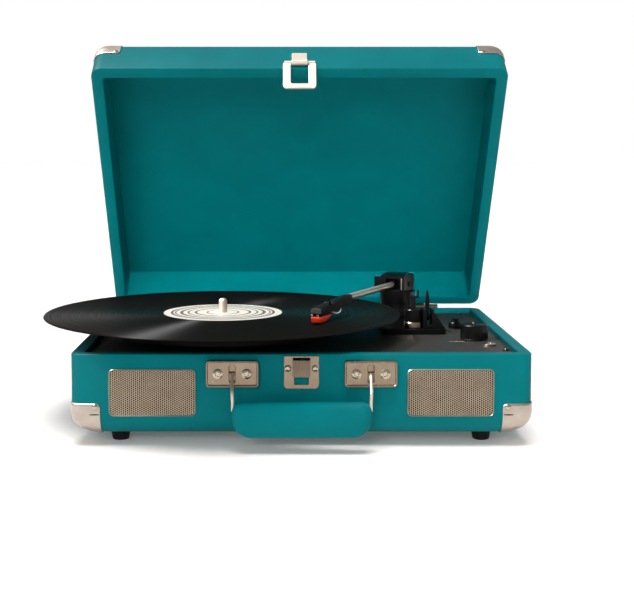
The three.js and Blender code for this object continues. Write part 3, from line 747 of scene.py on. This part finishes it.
def perforated(half_x, half_y, corner, deep=0.45):
    """A sheet of six-sided cells, each with a round hole, kept inside a round rectangle."""
    across, up, r = HOLE["across"], HOLE["up"], HOLE["r"]
    near = across / 2 - up ** 2 / (8 * across)
    far = across / 2 + up ** 2 / (8 * across)
    hexagon = [(far, 0), (near, up / 2), (-near, up / 2), (-far, 0), (-near, -up / 2), (near, -up / 2)]
    rim = []
    for i, (x, y) in enumerate(hexagon):
        next_x, next_y = hexagon[(i + 1) % 6]
        rim += [(x, y), ((x + next_x) / 2, (y + next_y) / 2)]
    hole = []
    for x, y in rim:
        a = math.atan2(y, x)
        hole.append((r * math.cos(a), r * math.sin(a)))
    parts = []
    columns = int(half_x / across)
    rows = int(half_y / up) + 1
    for i in range(-columns, columns + 1):
        for j in range(-rows, rows + 1):
            x = i * across
            y = (j + (i % 2) / 2) * up
            corner_x = abs(x) - (half_x - corner)
            corner_y = abs(y) - (half_y - corner)
            if abs(y) > half_y or (corner_x > 0 and corner_y > 0 and math.hypot(corner_x,
                    corner_y) > corner):
                continue
            rings = [[(x + u, y + v, 0) for u, v in rim], [(x + u, y + v, 0) for u, v in hole],
                     [(x + u, y + v, -deep) for u, v in hole]]
            parts.append(loft(rings, start=False, end=False))
    return merge(*parts)


def weld(obj):
    shape = bmesh.new()
    shape.from_mesh(obj.data)
    bmesh.ops.remove_doubles(shape, verts=shape.verts, dist=0.002 * MM)
    shape.to_mesh(obj.data)
    shape.free()


def make_grilles():
    for side in ("left", "right"):
        node = f"speaker_grille_{side}"
        at = middle(node) - CENTRE
        half_x = size(node).x / 2
        half_y = size(node).z / 2
        face = HALF_Y + 0.1
        sheet = perforated(half_x - 0.5, half_y - 0.5, 3.1)
        up = CENTRE.z + at.z
        stand = facing_front(moved(sheet, z=face + 0.95), at.x, 0, up)
        weld(piece(f"grille_sheet_{side}", stand, GRILLE_METAL, "case", replaces=[node]))
        levels = [(0, 0), (0, 0.6), (0.12, 0.95), (0.3, 1.1), (0.5, 1.05), (0.6, 0.9), (0.6, 0)]
        rings = [at_height(round_rect(half_x - i, half_y - i, 3.6 - i, 6), face + z) for i, z in levels]
        lip = loft(rings + rings[:1], start=False, end=False)
        piece(f"grille_lip_{side}", facing_front(lip, at.x, 0, up), GRILLE_METAL, "case")
        cloth = plate(half_x - 1.1, half_y - 1.1, 3, 0.25, 0.05)
        piece(f"speaker_cloth_{side}", facing_front(moved(cloth, z=face), at.x, 0, up), CLOTH,
              "case")


# ---------------------------------------------------------------- screws and nails
def cross_head(radius, height, slot=0.52):
    """A domed screw head with a cross recess, its base at z = 0."""
    width = 0.22 * radius
    length = slot * radius
    a = math.degrees(math.atan2(width, length))
    quarter = [0, a / 2, a, (a + 45) / 2, 45, (135 - a) / 2, 90 - a, 90 - a / 2]
    turn = [math.radians(90 * k + q) for k in range(4) for q in quarter]

    def reach(angle):
        c, s = abs(math.cos(angle)) + 1e-9, abs(math.sin(angle)) + 1e-9
        return max(min(length / c, width / s), min(width / c, length / s))

    def dome_z(r):
        return height * math.sqrt(max(0, 1 - 0.85 * (r / radius) ** 2))
    rings = [[(radius * math.cos(t), radius * math.sin(t), 0) for t in turn]]
    for share in (1.0, 0.93, 0.8):
        r = radius * share
        rings.append([(r * math.cos(t), r * math.sin(t), dome_z(r)) for t in turn])
    for deep in (0, 0.6 * height):
        row = []
        for t in turn:
            r = reach(t) * (1 if deep == 0 else 0.85)
            row.append((r * math.cos(t), r * math.sin(t), dome_z(reach(t)) - deep))
        rings.append(row)
    return loft(rings)


def front_screw(name, x, z, out, radius, height, turn=20, body="case"):
    head = moved(cross_head(radius, height), z=out, degrees=turn)
    return piece(name, facing_front(head, x, 0, z), SCREW_METAL, body, smooth=40)


# ---------------------------------------------------------------- handle
HANDLE = {"slot_x": 2.4, "slot_z": 7.0, "screw": 11, "wire": 1.2, "end": 52.2, "below": 14.6, "stand": 19}


def bracket(half_x, half_z, thick):
    """A pressed plate with a raised rim and a slot down its middle."""
    slot_x, slot_z = HANDLE["slot_x"], HANDLE["slot_z"]
    levels = [
        (half_x, half_z, 2.5, 0.1), (half_x, half_z, 2.5, thick - 0.5),
        (half_x - 0.2, half_z - 0.2, 2.3, thick - 0.1),
        (half_x - 0.5, half_z - 0.5, 2.1, thick), (half_x - 0.9, half_z - 0.9, 1.8, thick - 0.1),
        (half_x - 1.5, half_z - 1.5, 1.4, thick - 0.9), (half_x - 1.9, half_z - 1.9, 1.2, thick - 1.0),
        (slot_x + 0.3, slot_z + 0.3, 2, thick - 1.0), (slot_x, slot_z, 1.8, thick - 1.4),
        (slot_x, slot_z, 1.8, 1.2),
    ]
    return loft([at_height(round_rect(x, z, r, 5), h) for x, z, r, h in levels])


def make_handle_bracket(side):
    node = f"handle_bracket_{side}"
    x = middle(node).x - CENTRE.x
    z = middle(node).z
    thick = size(node).y + 0.1
    body = bracket(size(node).x / 2, size(node).z / 2, thick)
    piece(f"bracket_{side}", facing_front(moved(body, z=HALF_Y), x, 0, z), NICKEL, "case",
          replaces=[node])
    for k, dx in enumerate((-HANDLE["screw"], HANDLE["screw"])):
        out = HALF_Y + thick - 1.0
        front_screw(f"bracket_screw_{side}_{k}", x + dx, z, out, 3.85, 1.7, 25 + 40 * k)


def make_handle_wire(side, sign):
    x = middle(f"handle_bracket_{side}").x - CENTRE.x
    end = sign * HANDLE["end"]
    y = -HALF_Y - 2
    z = RIM - HANDLE["below"]
    back = -HALF_Y - HANDLE["stand"]
    top = top_of("handle_grip")
    path = spline([
        (x, y, z), (x, y - 5, z - 4.5), ((3 * x + end) / 4, y - 12, z - 8.5),
        ((x + end) / 2, back + 0.6, z - 12), (end, back, top), (end, back, top - 7),
    ])
    pin = tube([(x - 5, y, z), (x + 5, y, z)], HANDLE["wire"], 14)
    piece(f"handle_pin_{side}", pin, NICKEL, "handle", smooth=40)
    piece(f"handle_rod_{side}", tube(path, HANDLE["wire"], 14), BRIGHT_METAL, "handle",
          replaces=[f"handle_wire_{side}"], smooth=40)


def grip_form(half, low, high, half_thick, y):
    """Rounded upright sections along X, with wide rounded lower corners and firm upper ones."""
    corner = 15
    shoulder = 8
    rings = []
    stations = [-half + half * 2 * (0.5 - 0.5 * math.cos(math.pi * i / 44)) for i in range(45)]
    for x in stations:
        past = max(0, abs(x) - (half - corner))
        bottom = low + corner - math.sqrt(max(0, corner ** 2 - min(past, corner - 0.05) ** 2))
        past = max(0, abs(x) - (half - shoulder))
        drop = shoulder - math.sqrt(max(0, shoulder ** 2 - min(past, shoulder - 0.05) ** 2))
        top = high - drop
        thick = half_thick * math.sqrt(max(0.03, 1 - (past / shoulder) ** 2.2 * 0.97))
        mid, half_high = (top + bottom) / 2, max(0.6, (top - bottom) / 2)
        ring = []
        for k in range(32):
            a = 2 * math.pi * k / 32
            c, s = math.cos(a), math.sin(a)
            ring.append((x, y + thick * math.copysign(abs(c) ** 0.72, c),
                         mid + half_high * math.copysign(abs(s) ** 0.72, s)))
        rings.append(ring)
    return loft(rings)


def make_handle():
    for side, sign in (("left", -1), ("right", 1)):
        make_handle_bracket(side)
        make_handle_wire(side, sign)
    low, high = (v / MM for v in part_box("handle_grip"))
    mid = (low + high) / 2 - CENTRE
    half = (high.x - low.x) / 2
    half_thick = (high.y - low.y) / 2
    grip = piece("grip_padding", grip_form(half, low.z, high.z, half_thick, mid.y), TEAL,
                 "handle", replaces=["handle_grip"], smooth=60)
    seam = spline([(-half + 16, mid.y, low.z + 0.15), (0, mid.y, low.z + 0.05),
                   (half - 16, mid.y, low.z + 0.15)], 12)
    piece("grip_seam", tube(seam, 0.45, 8), TEAL, "handle", smooth=60)


# ---------------------------------------------------------------- latch
def make_latch():
    low, high = (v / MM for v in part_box("latch_catch"))
    up = (low.z + high.z) / 2
    half_z = (high.z - low.z) / 2
    outer = ((high.x - low.x) / 2, half_z, (0.8, 0.8, 3.2, 3.2), 0, 0)
    inner = (5.55, 2.7, 0.4, 0, RIM - 20.7 - up)
    flat = moved(window_plate(outer, inner, 1.0, 0.25), z=HALF_Y + 0.1)
    piece("catch_plate", facing_front(flat, 0, 0, up), NICKEL, "case", replaces=["latch_catch"])
    back = -HALF_Y - 0.9
    face = [(back, RIM - 17.3), (back - 3.7, RIM - 17.3), (back - 2.6, RIM - 8), (back - 2.1, RIM - 4.6),
            (back, RIM - 2.4)]
    piece("catch_tongue", side_cut(face, -6.65, 6.65, 0.25), NICKEL, "case", smooth=25)
    for k, x in enumerate((-10.5, 10.5)):
        front_screw(f"catch_screw_{k}", x, RIM - 11, HALF_Y + 1.0, 2.6, 1.5, 30 + 30 * k)
    refined("latch_tab", BRIGHT_METAL, "lid", 0.3)
    make_latch_loop()


LOOP = {"out": 3.2, "up": 4.5, "tilt": 26, "half": 14, "drop": 26.4, "window": 21.3}


def make_latch_loop():
    """The loop is drawn hanging from its pin at the origin, then tilted off the lid's front face."""
    axis = (-2 * HALF_Y - HINGE_OUT - LOOP["out"], SEAM + LOOP["up"])
    at = LID @ place(0, *axis, "X", LOOP["tilt"])
    top = 1.0
    outer = (LOOP["half"], (LOOP["drop"] + top) / 2, 3.6, 0, (top - LOOP["drop"]) / 2)
    inner = (7.6, (LOOP["window"] - 0.6) / 2, 1.4, 0, -(LOOP["window"] + 0.6) / 2)
    frame = facing_front(moved(window_plate(outer, inner, 1.2, 0.35), z=-0.6))
    pin = tube([(-LOOP["half"] + 1, 0, 0), (LOOP["half"] - 1, 0, 0)], 1.3, 20)
    low = -LOOP["drop"]
    lip = tube([(-LOOP["half"] + 4, -0.9, low + 0.5), (LOOP["half"] - 4, -0.9, low + 0.5)], 0.65, 14)
    piece("loop_frame", merge(frame, pin, lip), BRIGHT_METAL, "latch_loop", at, ["latch_loop"],
          smooth=35)


# ---------------------------------------------------------------- deck, knobs and lights
def knurled(radius, low, high, ribs, deep=0.35):
    """A knob with fine upright ribs round its side and a softly dished, polished cap."""
    count = ribs * 2
    def ring(r, z, cut=0.0):
        points = []
        for i in range(count):
            a = 2 * math.pi * i / count
            here = r - (cut if i % 2 else 0)
            points.append((here * math.cos(a), here * math.sin(a), z))
        return points
    rings = [
        ring(radius - 0.6, low), ring(radius, low + 0.5, 0), ring(radius, low + 0.9, deep),
        ring(radius, high - 1.6, deep),
        ring(radius - 0.25, high - 1.0, 0), ring(radius - 0.9, high - 0.25, 0), ring(radius - 1.6, high, 0),
        ring(radius - 2.6, high - 0.25, 0), ring(radius - 4, high - 0.35, 0),
    ]
    return loft(rings)


def make_knobs():
    at = middle("volume_knob")
    radius = size("volume_knob").x / 2
    top = top_of("volume_knob")
    here = place(at.x, at.y, 0)
    piece("volume_ribbed", knurled(radius, DECK + 0.5, top, 44), BLACK, "volume_knob",
          here,
          ["volume_knob"], smooth=20)
    mark = block((-0.4, 0.4), (3.2, 8.2), (top - 0.3, top - 0.02), 0.1)
    piece("volume_mark", mark, PRINT_WHITE, "volume_knob", here)
    refined("selector_knob", BLACK, "selector_knob", 0.6)


def make_deck():
    refined("deck_plate", DECK_BLACK, "case", 0.3)
    spots = [(-157, 111), (157, 111), (-157, -111), (166, -85), (0, 113), (128.5, -6)]
    for k, (x, y) in enumerate(spots):
        head = moved(cross_head(2.1, 0.9), x, y, DECK, degrees=17 * k)
        piece(f"deck_screw_{k}", head, SCREW_METAL if k > 2 else BLACK, "case", smooth=40)
    line = block((124.2, 137.2), (-50.2, -49.4), (DECK, DECK + 0.06), 0.02)
    piece("level_line", line, PRINT_WHITE, "case")
    arrow = loft([[(129.2, -48.2, z), (132.4, -48.2, z), (130.8, -44.4, z)] for z in (DECK, DECK + 0.06)])
    piece("level_arrow", arrow, PRINT_RED, "case")
    jack = middle("headphone_jack")
    top = top_of("headphone_jack")
    low = low_of("headphone_jack")
    profile = [(1.75, low), (3.8, low), (3.8, DECK), (5.2, DECK), (5.2, top - 0.4), (4.8, top), (2.4, top),
               (1.75, top - 0.7), (1.75, low)]
    points, faces = lathe(profile, 40)
    piece("phones_ring", (points, [f for f in faces if len(f) == 4]), SCREW_METAL, "case",
          place(jack.x, jack.y, 0), ["headphone_jack"])
    led = middle("power_led")
    lamp = moved(dome(1.8, 2.2, 24, 5), z=DECK + 0.1)
    piece("power_lamp", lamp, LED_RED, "case", place(led.x, led.y, 0), ["power_led"],
          smooth=60)
    collar = turned_ring(1.95, 2.7, DECK + 0.02, DECK + 0.6, 0.15, 28)
    piece("lamp_collar", collar, BLACK, "case", place(led.x, led.y, 0))


# ---------------------------------------------------------------- tonearm, drawn about its pivot, stylus towards -Y
ARM_TIP = 173.7
REST_X = 99.6


def make_column():
    low = low_of("tonearm_column")
    top = top_of("tonearm_column")
    profile = [
        (21, low), (21, low + 2.9), (20.4, low + 3.5), (17.2, low + 6.6), (16.2, low + 8), (16, low + 9),
        (16, low + 13),
        (15.6, low + 13.3), (15.6, low + 14), (16, low + 14.3), (16, top - 0.6), (15.4, top), (6, top),
        (4.4, top - 0.3), (4.4, RIM + 11),
    ]
    at = place(PIVOT.x, PIVOT.y, 0)
    piece("column_turned", lathe(profile, 64), BLACK, "case", at, ["tonearm_column"],
          smooth=28)
    for k in range(3):
        a = math.radians(100 + 120 * k)
        head = moved(cross_head(1.5, 0.6), 18.6 * math.cos(a), 18.6 * math.sin(a), low + 4.8)
        piece(f"column_screw_{k}", head, MATT_BLACK, "case", at)


def make_yoke():
    refined("arm_yoke", BLACK, "arm_yoke", 0.7)
    refined("arm_pivot_block", MATT_BLACK, "tonearm", 0.4)
    bar = block((8.3, 9.3), (-13.25, -12.6), (-5.4, 6.0), 0.15)
    piece("yoke_trim", bar, ARM_METAL, "arm_yoke", ARM)
    for k, x in enumerate((-11.25, 11.25)):
        out = 1 if k else -1
        hub = lathe([(2.6, 0), (2.6, 0.5), (2.2, 0.8), (0.9, 0.8), (0.7, 0.45), (0, 0.4)], 24)
        points = [(x + out * z, px, py) for px, py, z in hub[0]]
        faces = hub[1] if k else [face[::-1] for face in hub[1]]
        piece(f"pivot_cap_{k}", (points, faces), MATT_BLACK, "arm_yoke", ARM, smooth=30)


def make_arm_tube():
    path = [(0, -8.6, 0), (0, -60, 0), (0, -116, 0)]
    tube_part = tube(path, 2.7, 32)
    piece("arm_rod", tube_part, ARM_METAL, "tonearm", ARM, ["arm_tube"], smooth=40)
    sleeve = moved(lathe([(2.9, 0), (3.2, 0.3), (3.2, 5.6), (2.9, 5.9), (2.5, 5.9)], 32), 0, -8.6, 0, "X",
                   90)
    piece("arm_sleeve", sleeve, MATT_BLACK, "tonearm", ARM, smooth=30)


def shell_section(y, half, low, high, crown):
    """One upright section of the headshell: flat underneath, a ridged and softly crowned top."""
    ring = [(-half, y, low), (half, y, low), (half, y, high - crown), (half * 0.62, y, high - crown * 0.15)]
    ring += [(half * 0.3, y, high), (-half * 0.3, y, high), (-half * 0.62, y, high - crown * 0.15),
             (-half, y, high - crown)]
    return ring


def make_headshell():
    stations = [
        (-114, 2.9, -3.4, 2.0, 0.6), (-116, 3.6, -4.0, 2.8, 0.7), (-124, 4.1, -4.6, 2.8, 0.8),
        (-141, 4.4, -5.4, 1.7, 0.9),
        (-152, 4.4, -5.7, 0.7, 0.9), (-165, 4.4, -5.7, -0.1, 0.8), (-176, 4.3, -5.7, -1.0, 0.8),
        (-180, 4.2, -5.7, -1.4, 0.8),
    ]
    body = loft([shell_section(*s) for s in stations])
    piece("shell_body", body, MATT_BLACK, "tonearm", ARM, ["headshell"], smooth=25)
    nose = loft([
        shell_section(-180.05, 4.2, -5.7, -1.5, 0.8), shell_section(-181.6, 4.15, -5.7, -1.8, 0.7),
        shell_section(-182.5, 3.9, -5.5, -2.2, 0.6),
    ])
    piece("shell_nose", nose, GREY_PLASTIC, "tonearm", ARM, smooth=25)
    ridge = loft([
        [(-1.6, y, z - 0.5), (1.6, y, z - 0.5), (1.1, y, z + 0.35), (-1.1, y, z + 0.35)]
        for y, z in ((-129, 2.3), (-141, 1.7), (-152, 0.7), (-161, 0.1))
    ])
    piece("shell_ridge", ridge, BLACK, "tonearm", ARM, smooth=25)
    lift = spline([(3.2, -161.5, -1.6), (4.4, -163.5, 0.6), (5.2, -166.2, 2.6), (5.4, -168.8, 3.7)], 5)
    rings = []
    for p in lift:
        rings.append([(p.x - 0.5, p.y, p.z), (p.x + 1.2, p.y, p.z + 0.2),
                      (p.x + 1.2, p.y - 0.3, p.z + 0.9), (p.x - 0.5, p.y - 0.3, p.z + 0.7)])
    piece("finger_lift", loft(rings), BLACK, "tonearm", ARM, smooth=30)
    for k, (x, y) in enumerate(((-2.4, -157), (2.4, -157))):
        z = 0.4
        head = moved(cross_head(1.15, 0.6), x, y, z - 0.15)
        piece(f"shell_screw_{k}", head, SCREW_METAL, "tonearm", ARM, smooth=40)


def make_cartridge():
    body = block((-4.2, 4.2), (-179.5, -160), (-8.2, -5.8), 0.35)
    piece("cartridge_body", body, MATT_BLACK, "tonearm", ARM, ["cartridge"], smooth=25)
    rear = block((-3.6, 3.6), (-160.2, -157.4), (-9.6, -5.75), 0.3)
    piece("cartridge_rear", rear, MATT_BLACK, "tonearm", ARM, smooth=25)
    for k, x in enumerate((-2.6, -0.9, 0.9, 2.6)):
        pin = tube([(x, -157.6, -7.6), (x, -153.6, -7.6)], 0.42, 10)
        piece(f"terminal_{k}", pin, SCREW_METAL, "tonearm", ARM, smooth=40)
        lead = tube(spline([(x, -154.2, -7.6), (x * 1.3 + 1.2, -150, -9), (x + 2, -143, -8),
                            (x * 0.4, -133, -4.6)], 6), 0.4, 8)
        look = (LEAD_RED, LEAD_BLUE, LEAD_GREEN, LEAD_WHITE)[k]
        piece(f"lead_{k}", lead, look, "tonearm", ARM, smooth=60)
    front = merge(
        block((-4.0, -2.2), (-182.2, -178.8), (-8.9, -6.6), 0.2),
        block((0.4, 2.6), (-182.0, -178.8), (-9.2, -6.4), 0.2))
    piece("cartridge_clips", front, SCREW_METAL, "tonearm", ARM, smooth=30)


def make_stylus():
    top = -8.4
    low = DISC_TOP + 0.9 - ARM_Z
    stations = [(-183, 3.4, top - 1.8, top - 0.7), (-182, 3.8, top - 4.2, top), (-178.6, 3.8, low, top),
                (-168, 3.8, low + 0.1, top), (-163, 3.7, low + 1.6, top), (-158.5, 3.6, top - 1.0, top)]
    rings = []
    for y, half, z0, z1 in stations:
        outline = round_rect(half, (z1 - z0) / 2, min(0.8, (z1 - z0) / 3), 3, 0, (z0 + z1) / 2)
        rings.append([(x, y, z) for x, z in outline])
    piece("stylus_wedge", loft(rings), STYLUS_RED, "tonearm", ARM, ["stylus"], smooth=30)
    mount = lathe([(0, -ARM_Z + DISC_TOP + 0.2), (0.12, -ARM_Z + DISC_TOP + 0.5),
                   (0.3, -ARM_Z + DISC_TOP + 0.9),
                   (0.45, low + 0.4)], 12)
    piece("needle", moved(mount, 0, -ARM_TIP, 0), SCREW_METAL, "tonearm", ARM, smooth=40)


def make_rest_and_cueing():
    refined("arm_rest", BLACK, "case", 0.3)
    low = low_of("arm_rest")
    at = place(CENTRE.x + REST_X, CENTRE.y, 0)
    flange = lathe([(7.3, low + 0.02), (8.2, low + 0.3), (8.2, low + 4.6), (7.9, low + 5),
                    (7.3, low + 5.1)], 56)
    piece("rest_flange", flange, NICKEL, "case", at, smooth=40)
    skin = lathe([(7.32, low + 4.2), (7.32, RIM + 16.2), (6.7, RIM + 17.05), (2.9, RIM + 17.15)], 56)
    piece("rest_post", (skin[0], skin[1]), BLACK, "case", at, smooth=30)
    refined("arm_lifter", MATT_BLACK, "arm_lifter", 0.4)
    refined("cue_bracket", BLACK, "case", 0.4)
    lever = middle("cue_lever")
    foot = low_of("cue_lever") + 3.4
    tip = top_of("cue_lever")
    rows = [(0, 1.2, 2.4), (0.2, 1.3, 2.2), (0.4, 1.7, 2.0), (0.6, 1.9, 1.8), (0.8, 1.5, 1.6),
            (0.93, 0.9, 1.1), (1, 0.3, 0.4)]
    blade = loft([at_height(round_rect(half_x, half_y, 0.28 * half_x, 4), foot + t * (tip - foot)) for t,
                  half_x, half_y in rows])
    pin = tube([(-5, 0, foot), (4, 0, foot)], 1.5, 16)
    hub = tube([(-1.6, 0, foot), (1.6, 0, foot)], 3.4, 28)
    piece("cue_blade", merge(blade, pin, hub), MATT_BLACK, "cue_lever",
          place(lever.x, lever.y, 0),
          ["cue_lever"], smooth=40)
    refined("tonearm_plinth", BLACK, "case", 0.8)
    mark = moved(lathe([(1.1, 0), (1.1, 0.25), (0, 0.3)], 16), CENTRE.x + REST_X + 23, CENTRE.y + 1,
                 top_of("tonearm_plinth") + 1.6)
    piece("cue_mark", mark, PRINT_RED, "case", Matrix.Identity(4))


# ---------------------------------------------------------------- platter, drive and spindle
def make_platter():
    top = top_of("platter")
    r = size("platter").x / 2
    at = place(DISC.x, DISC.y, 0)
    drive = 82
    skirt = 72.5
    profile = [
        (SPINDLE_R + 0.1, top - 12), (10, top - 12), (10.5, top - 3), (drive - 4, top - 3),
        (drive - 4, skirt), (drive, skirt),
        (drive, top - 3), (r - 4, top - 3), (r - 4, top - 10), (r - 0.4, top - 10), (r, top - 9.6),
        (r, top - 6.4), (r - 0.5, top - 6.0), (r, top - 5.6), (r, top - 0.6), (r - 0.6, top),
        (SPINDLE_R + 0.1, top),
        (SPINDLE_R + 0.1, top - 12),
    ]
    points, faces = lathe(profile, 96)
    dish = points, [f for f in faces if len(f) == 4]
    piece("platter_cast", dish, MATT_BLACK, "platter", at, ["platter"], smooth=30)
    low = low_of("slip_mat")
    high = top_of("slip_mat")
    steps = [(SPINDLE_R + 0.1, low)]
    reach = size("slip_mat").x / 2
    steps += [(reach - 0.3, low), (reach, low + 0.4), (reach, high - 0.4), (reach - 0.4, high)]
    radius = reach - 4
    while radius > 54:
        steps += [(radius, high), (radius - 0.5, high - 0.4), (radius - 1.4, high - 0.4),
                  (radius - 1.9, high)]
        radius -= 5
    steps += [(SPINDLE_R + 0.1, high), (SPINDLE_R + 0.1, low)]
    points, faces = lathe(steps, 96)
    piece("mat_ribbed", (points, [f for f in faces if len(f) == 4]), RUBBER, "platter", at,
          ["slip_mat"])
    tip = top_of("spindle")
    base = low_of("spindle")
    shaft = [(SPINDLE_R, base), (SPINDLE_R, tip - 2.6), (SPINDLE_R - 0.25, tip - 1.6),
             (SPINDLE_R - 0.9, tip - 0.7),
             (SPINDLE_R - 2, tip - 0.2), (0, tip)]
    piece("spindle_turned", lathe(shaft, 40), ARM_METAL, "platter", at, ["spindle"], smooth=50)
    refined("platter_bearing", BRASS, "case", 0.3)
    refined("motor", ZINC, "case", 0.5)
    refined("motor_pulley", BRASS, "motor_pulley", 0)
    refined("drive_belt", RUBBER, "case", 0)


# ---------------------------------------------------------------- underside, rear and insides
def make_feet():
    for node in ("front_left", "front_right", "rear_left", "rear_right"):
        at = middle(f"foot_{node}")
        top = top_of(f"foot_{node}")
        profile = [(2.2, 1.6), (2.6, 0.6), (5.4, 0), (6.2, 0.25), (6.6, 0.9), (7.9, top - 0.6), (7.9, top)]
        piece(f"foot_moulded_{node}", lathe(profile, 40), RUBBER, "case", place(at.x, at.y, 0),
              [f"foot_{node}"],
              smooth=35)
        head = moved(cross_head(2.1, 0.7), 0, 0, 1.6, "X", 180)
        piece(f"foot_screw_{node}", head, SCREW_METAL, "case", place(at.x, at.y, 0))


LEAF = 1.3


def make_hinges():
    for side in ("left", "right"):
        refined(f"hinge_base_leaf_{side}", NICKEL, "case", 0.25)
        refined(f"hinge_lid_leaf_{side}", NICKEL, "lid", 0.25)
        refined(f"hinge_pin_{side}", SCREW_METAL, "case", 0.3)
        x = middle(f"hinge_pin_{side}").x - CENTRE.x
        for k, dx in enumerate((-13, 0, 13)):
            points, faces = moved(cross_head(2.3, 0.9), degrees=31 * k)
            rear = [(x + dx - px, HALF_Y + LEAF + pz, RIM - 12 + py) for px, py, pz in points]
            piece(f"hinge_screw_{side}_{k}", (rear, faces), SCREW_METAL, "case", smooth=40)
            up = [(x + dx + px, LEAF - HINGE_OUT + pz, 12 - py) for px, py, pz in points]
            piece(f"hinge_lid_screw_{side}_{k}", (up, [f[::-1] for f in faces]), SCREW_METAL,
                  "lid", LID,
                  smooth=40)


def make_rear():
    refined("jack_panel", BLACK, "case", 0.35)
    panel = middle("jack_panel") - CENTRE
    z = (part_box("jack_panel")[0].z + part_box("jack_panel")[1].z) / 2 / MM
    face = HALF_Y + 1.35
    for k, (dx, look) in enumerate(((-20, JACK_WHITE), (0, JACK_RED))):
        ring_part = turned_ring(1.9, 4.6, 0, 0.5, 0.15, 32)
        points = [(panel.x + dx + px, face + pz, z + py) for px, py, pz in ring_part[0]]
        piece(f"jack_ring_{k}", (points, [f[::-1] for f in ring_part[1]]), look, "case",
              smooth=30)
    for k, (dx, dz) in enumerate(((-29, 11), (29, 11), (-29, -11), (29, -11))):
        head = cross_head(1.9, 0.8)
        points = [(panel.x + dx - px, face - 0.05 + pz, z + dz + py) for px, py, pz in head[0]]
        piece(f"panel_screw_{k}", (points, head[1]), BLACK, "case", smooth=40)


def make_insides():
    refined("amplifier_board", BOARD_GREEN, "case", 0.3)
    for side in ("left", "right"):
        refined(f"speaker_driver_{side}", MATT_BLACK, "case", 0.4)


NAIL = {"radius": 2.5, "height": 1.2, "from_corner": 19, "up": 22.9, "out": 0.75}


def corner_nail(sx, sy, face):
    """A nail on the x or y face beside the corner (sx, sy) of a box whose closed side is at z = 0."""
    points, faces = dome(NAIL["radius"], NAIL["height"], 20, 4)
    along, out = NAIL["from_corner"], NAIL["out"]
    if face == "y":
        placed = [(sx * (HALF_X - along + px), sy * (HALF_Y + out + pz), NAIL["up"] + py) for px, py,
                  pz in points]
        flip = sx * sy < 0
    else:
        placed = [(sx * (HALF_X + out + pz), sy * (HALF_Y - along + px), NAIL["up"] + py) for px, py,
                  pz in points]
        flip = sx * sy > 0
    return placed, [f[::-1] for f in faces] if flip else faces


def make_corner_nails():
    """Each cap is held by a domed nail near its free edge on the two faces that meet at the upright edge."""
    for place_name, sx, sy in CORNERS:
        for face in ("x", "y"):
            nail = moved(corner_nail(sx, sy, face), 0, 0, FOOT)
            piece(f"base_nail_{place_name}_{face}", nail, SCREW_METAL, "case", CASE, smooth=60)
        for face in ("x", "y"):
            nail = moved(corner_nail(sx, sy, face), 0, -HINGE.y + CENTRE.y, LID_HEIGHT + SEAM, "X", 180)
            piece(f"lid_nail_{place_name}_{face}", nail, SCREW_METAL, "lid", LID, smooth=60)


def make_painted_slit_shadows():
    """A short flat black sheet runs inwards from each cap's free edge on the front face: painted shadow standing in
    for the shade inside the slit where the cap's metal is folded over.
    """
    outline = [(4.2 * math.cos(a), 0.45 * math.sin(a)) for a in (2 * math.pi * k / 20 for k in range(20))]
    for place_name, sx, sy in CORNERS:
        x = sx * (HALF_X - CORNER_LEG + 4.4)
        y = sy * (HALF_Y + 0.86)
        flat = [[(x + px, y + sy * depth, FOOT + CORNER_UP - 8.6 + pz) for px,
                 pz in outline] for depth in (0, 0.06)]
        # Painted shadow: a flat black sheet on the cap, where the slit in the folded metal lies in shade.
        piece(f"painted_slit_shadow_{place_name}", loft(flat), MATT_BLACK, "case")


make_camera()
make_floor()
make_lights()
make_case()
make_corners()
make_record()
make_platter()
make_grilles()
make_handle()
make_latch()
make_knobs()
make_deck()
make_column()
make_yoke()
make_arm_tube()
make_headshell()
make_cartridge()
make_stylus()
make_rest_and_cueing()
make_feet()
make_hinges()
make_rear()
make_insides()
make_corner_nails()
make_painted_slit_shadows()
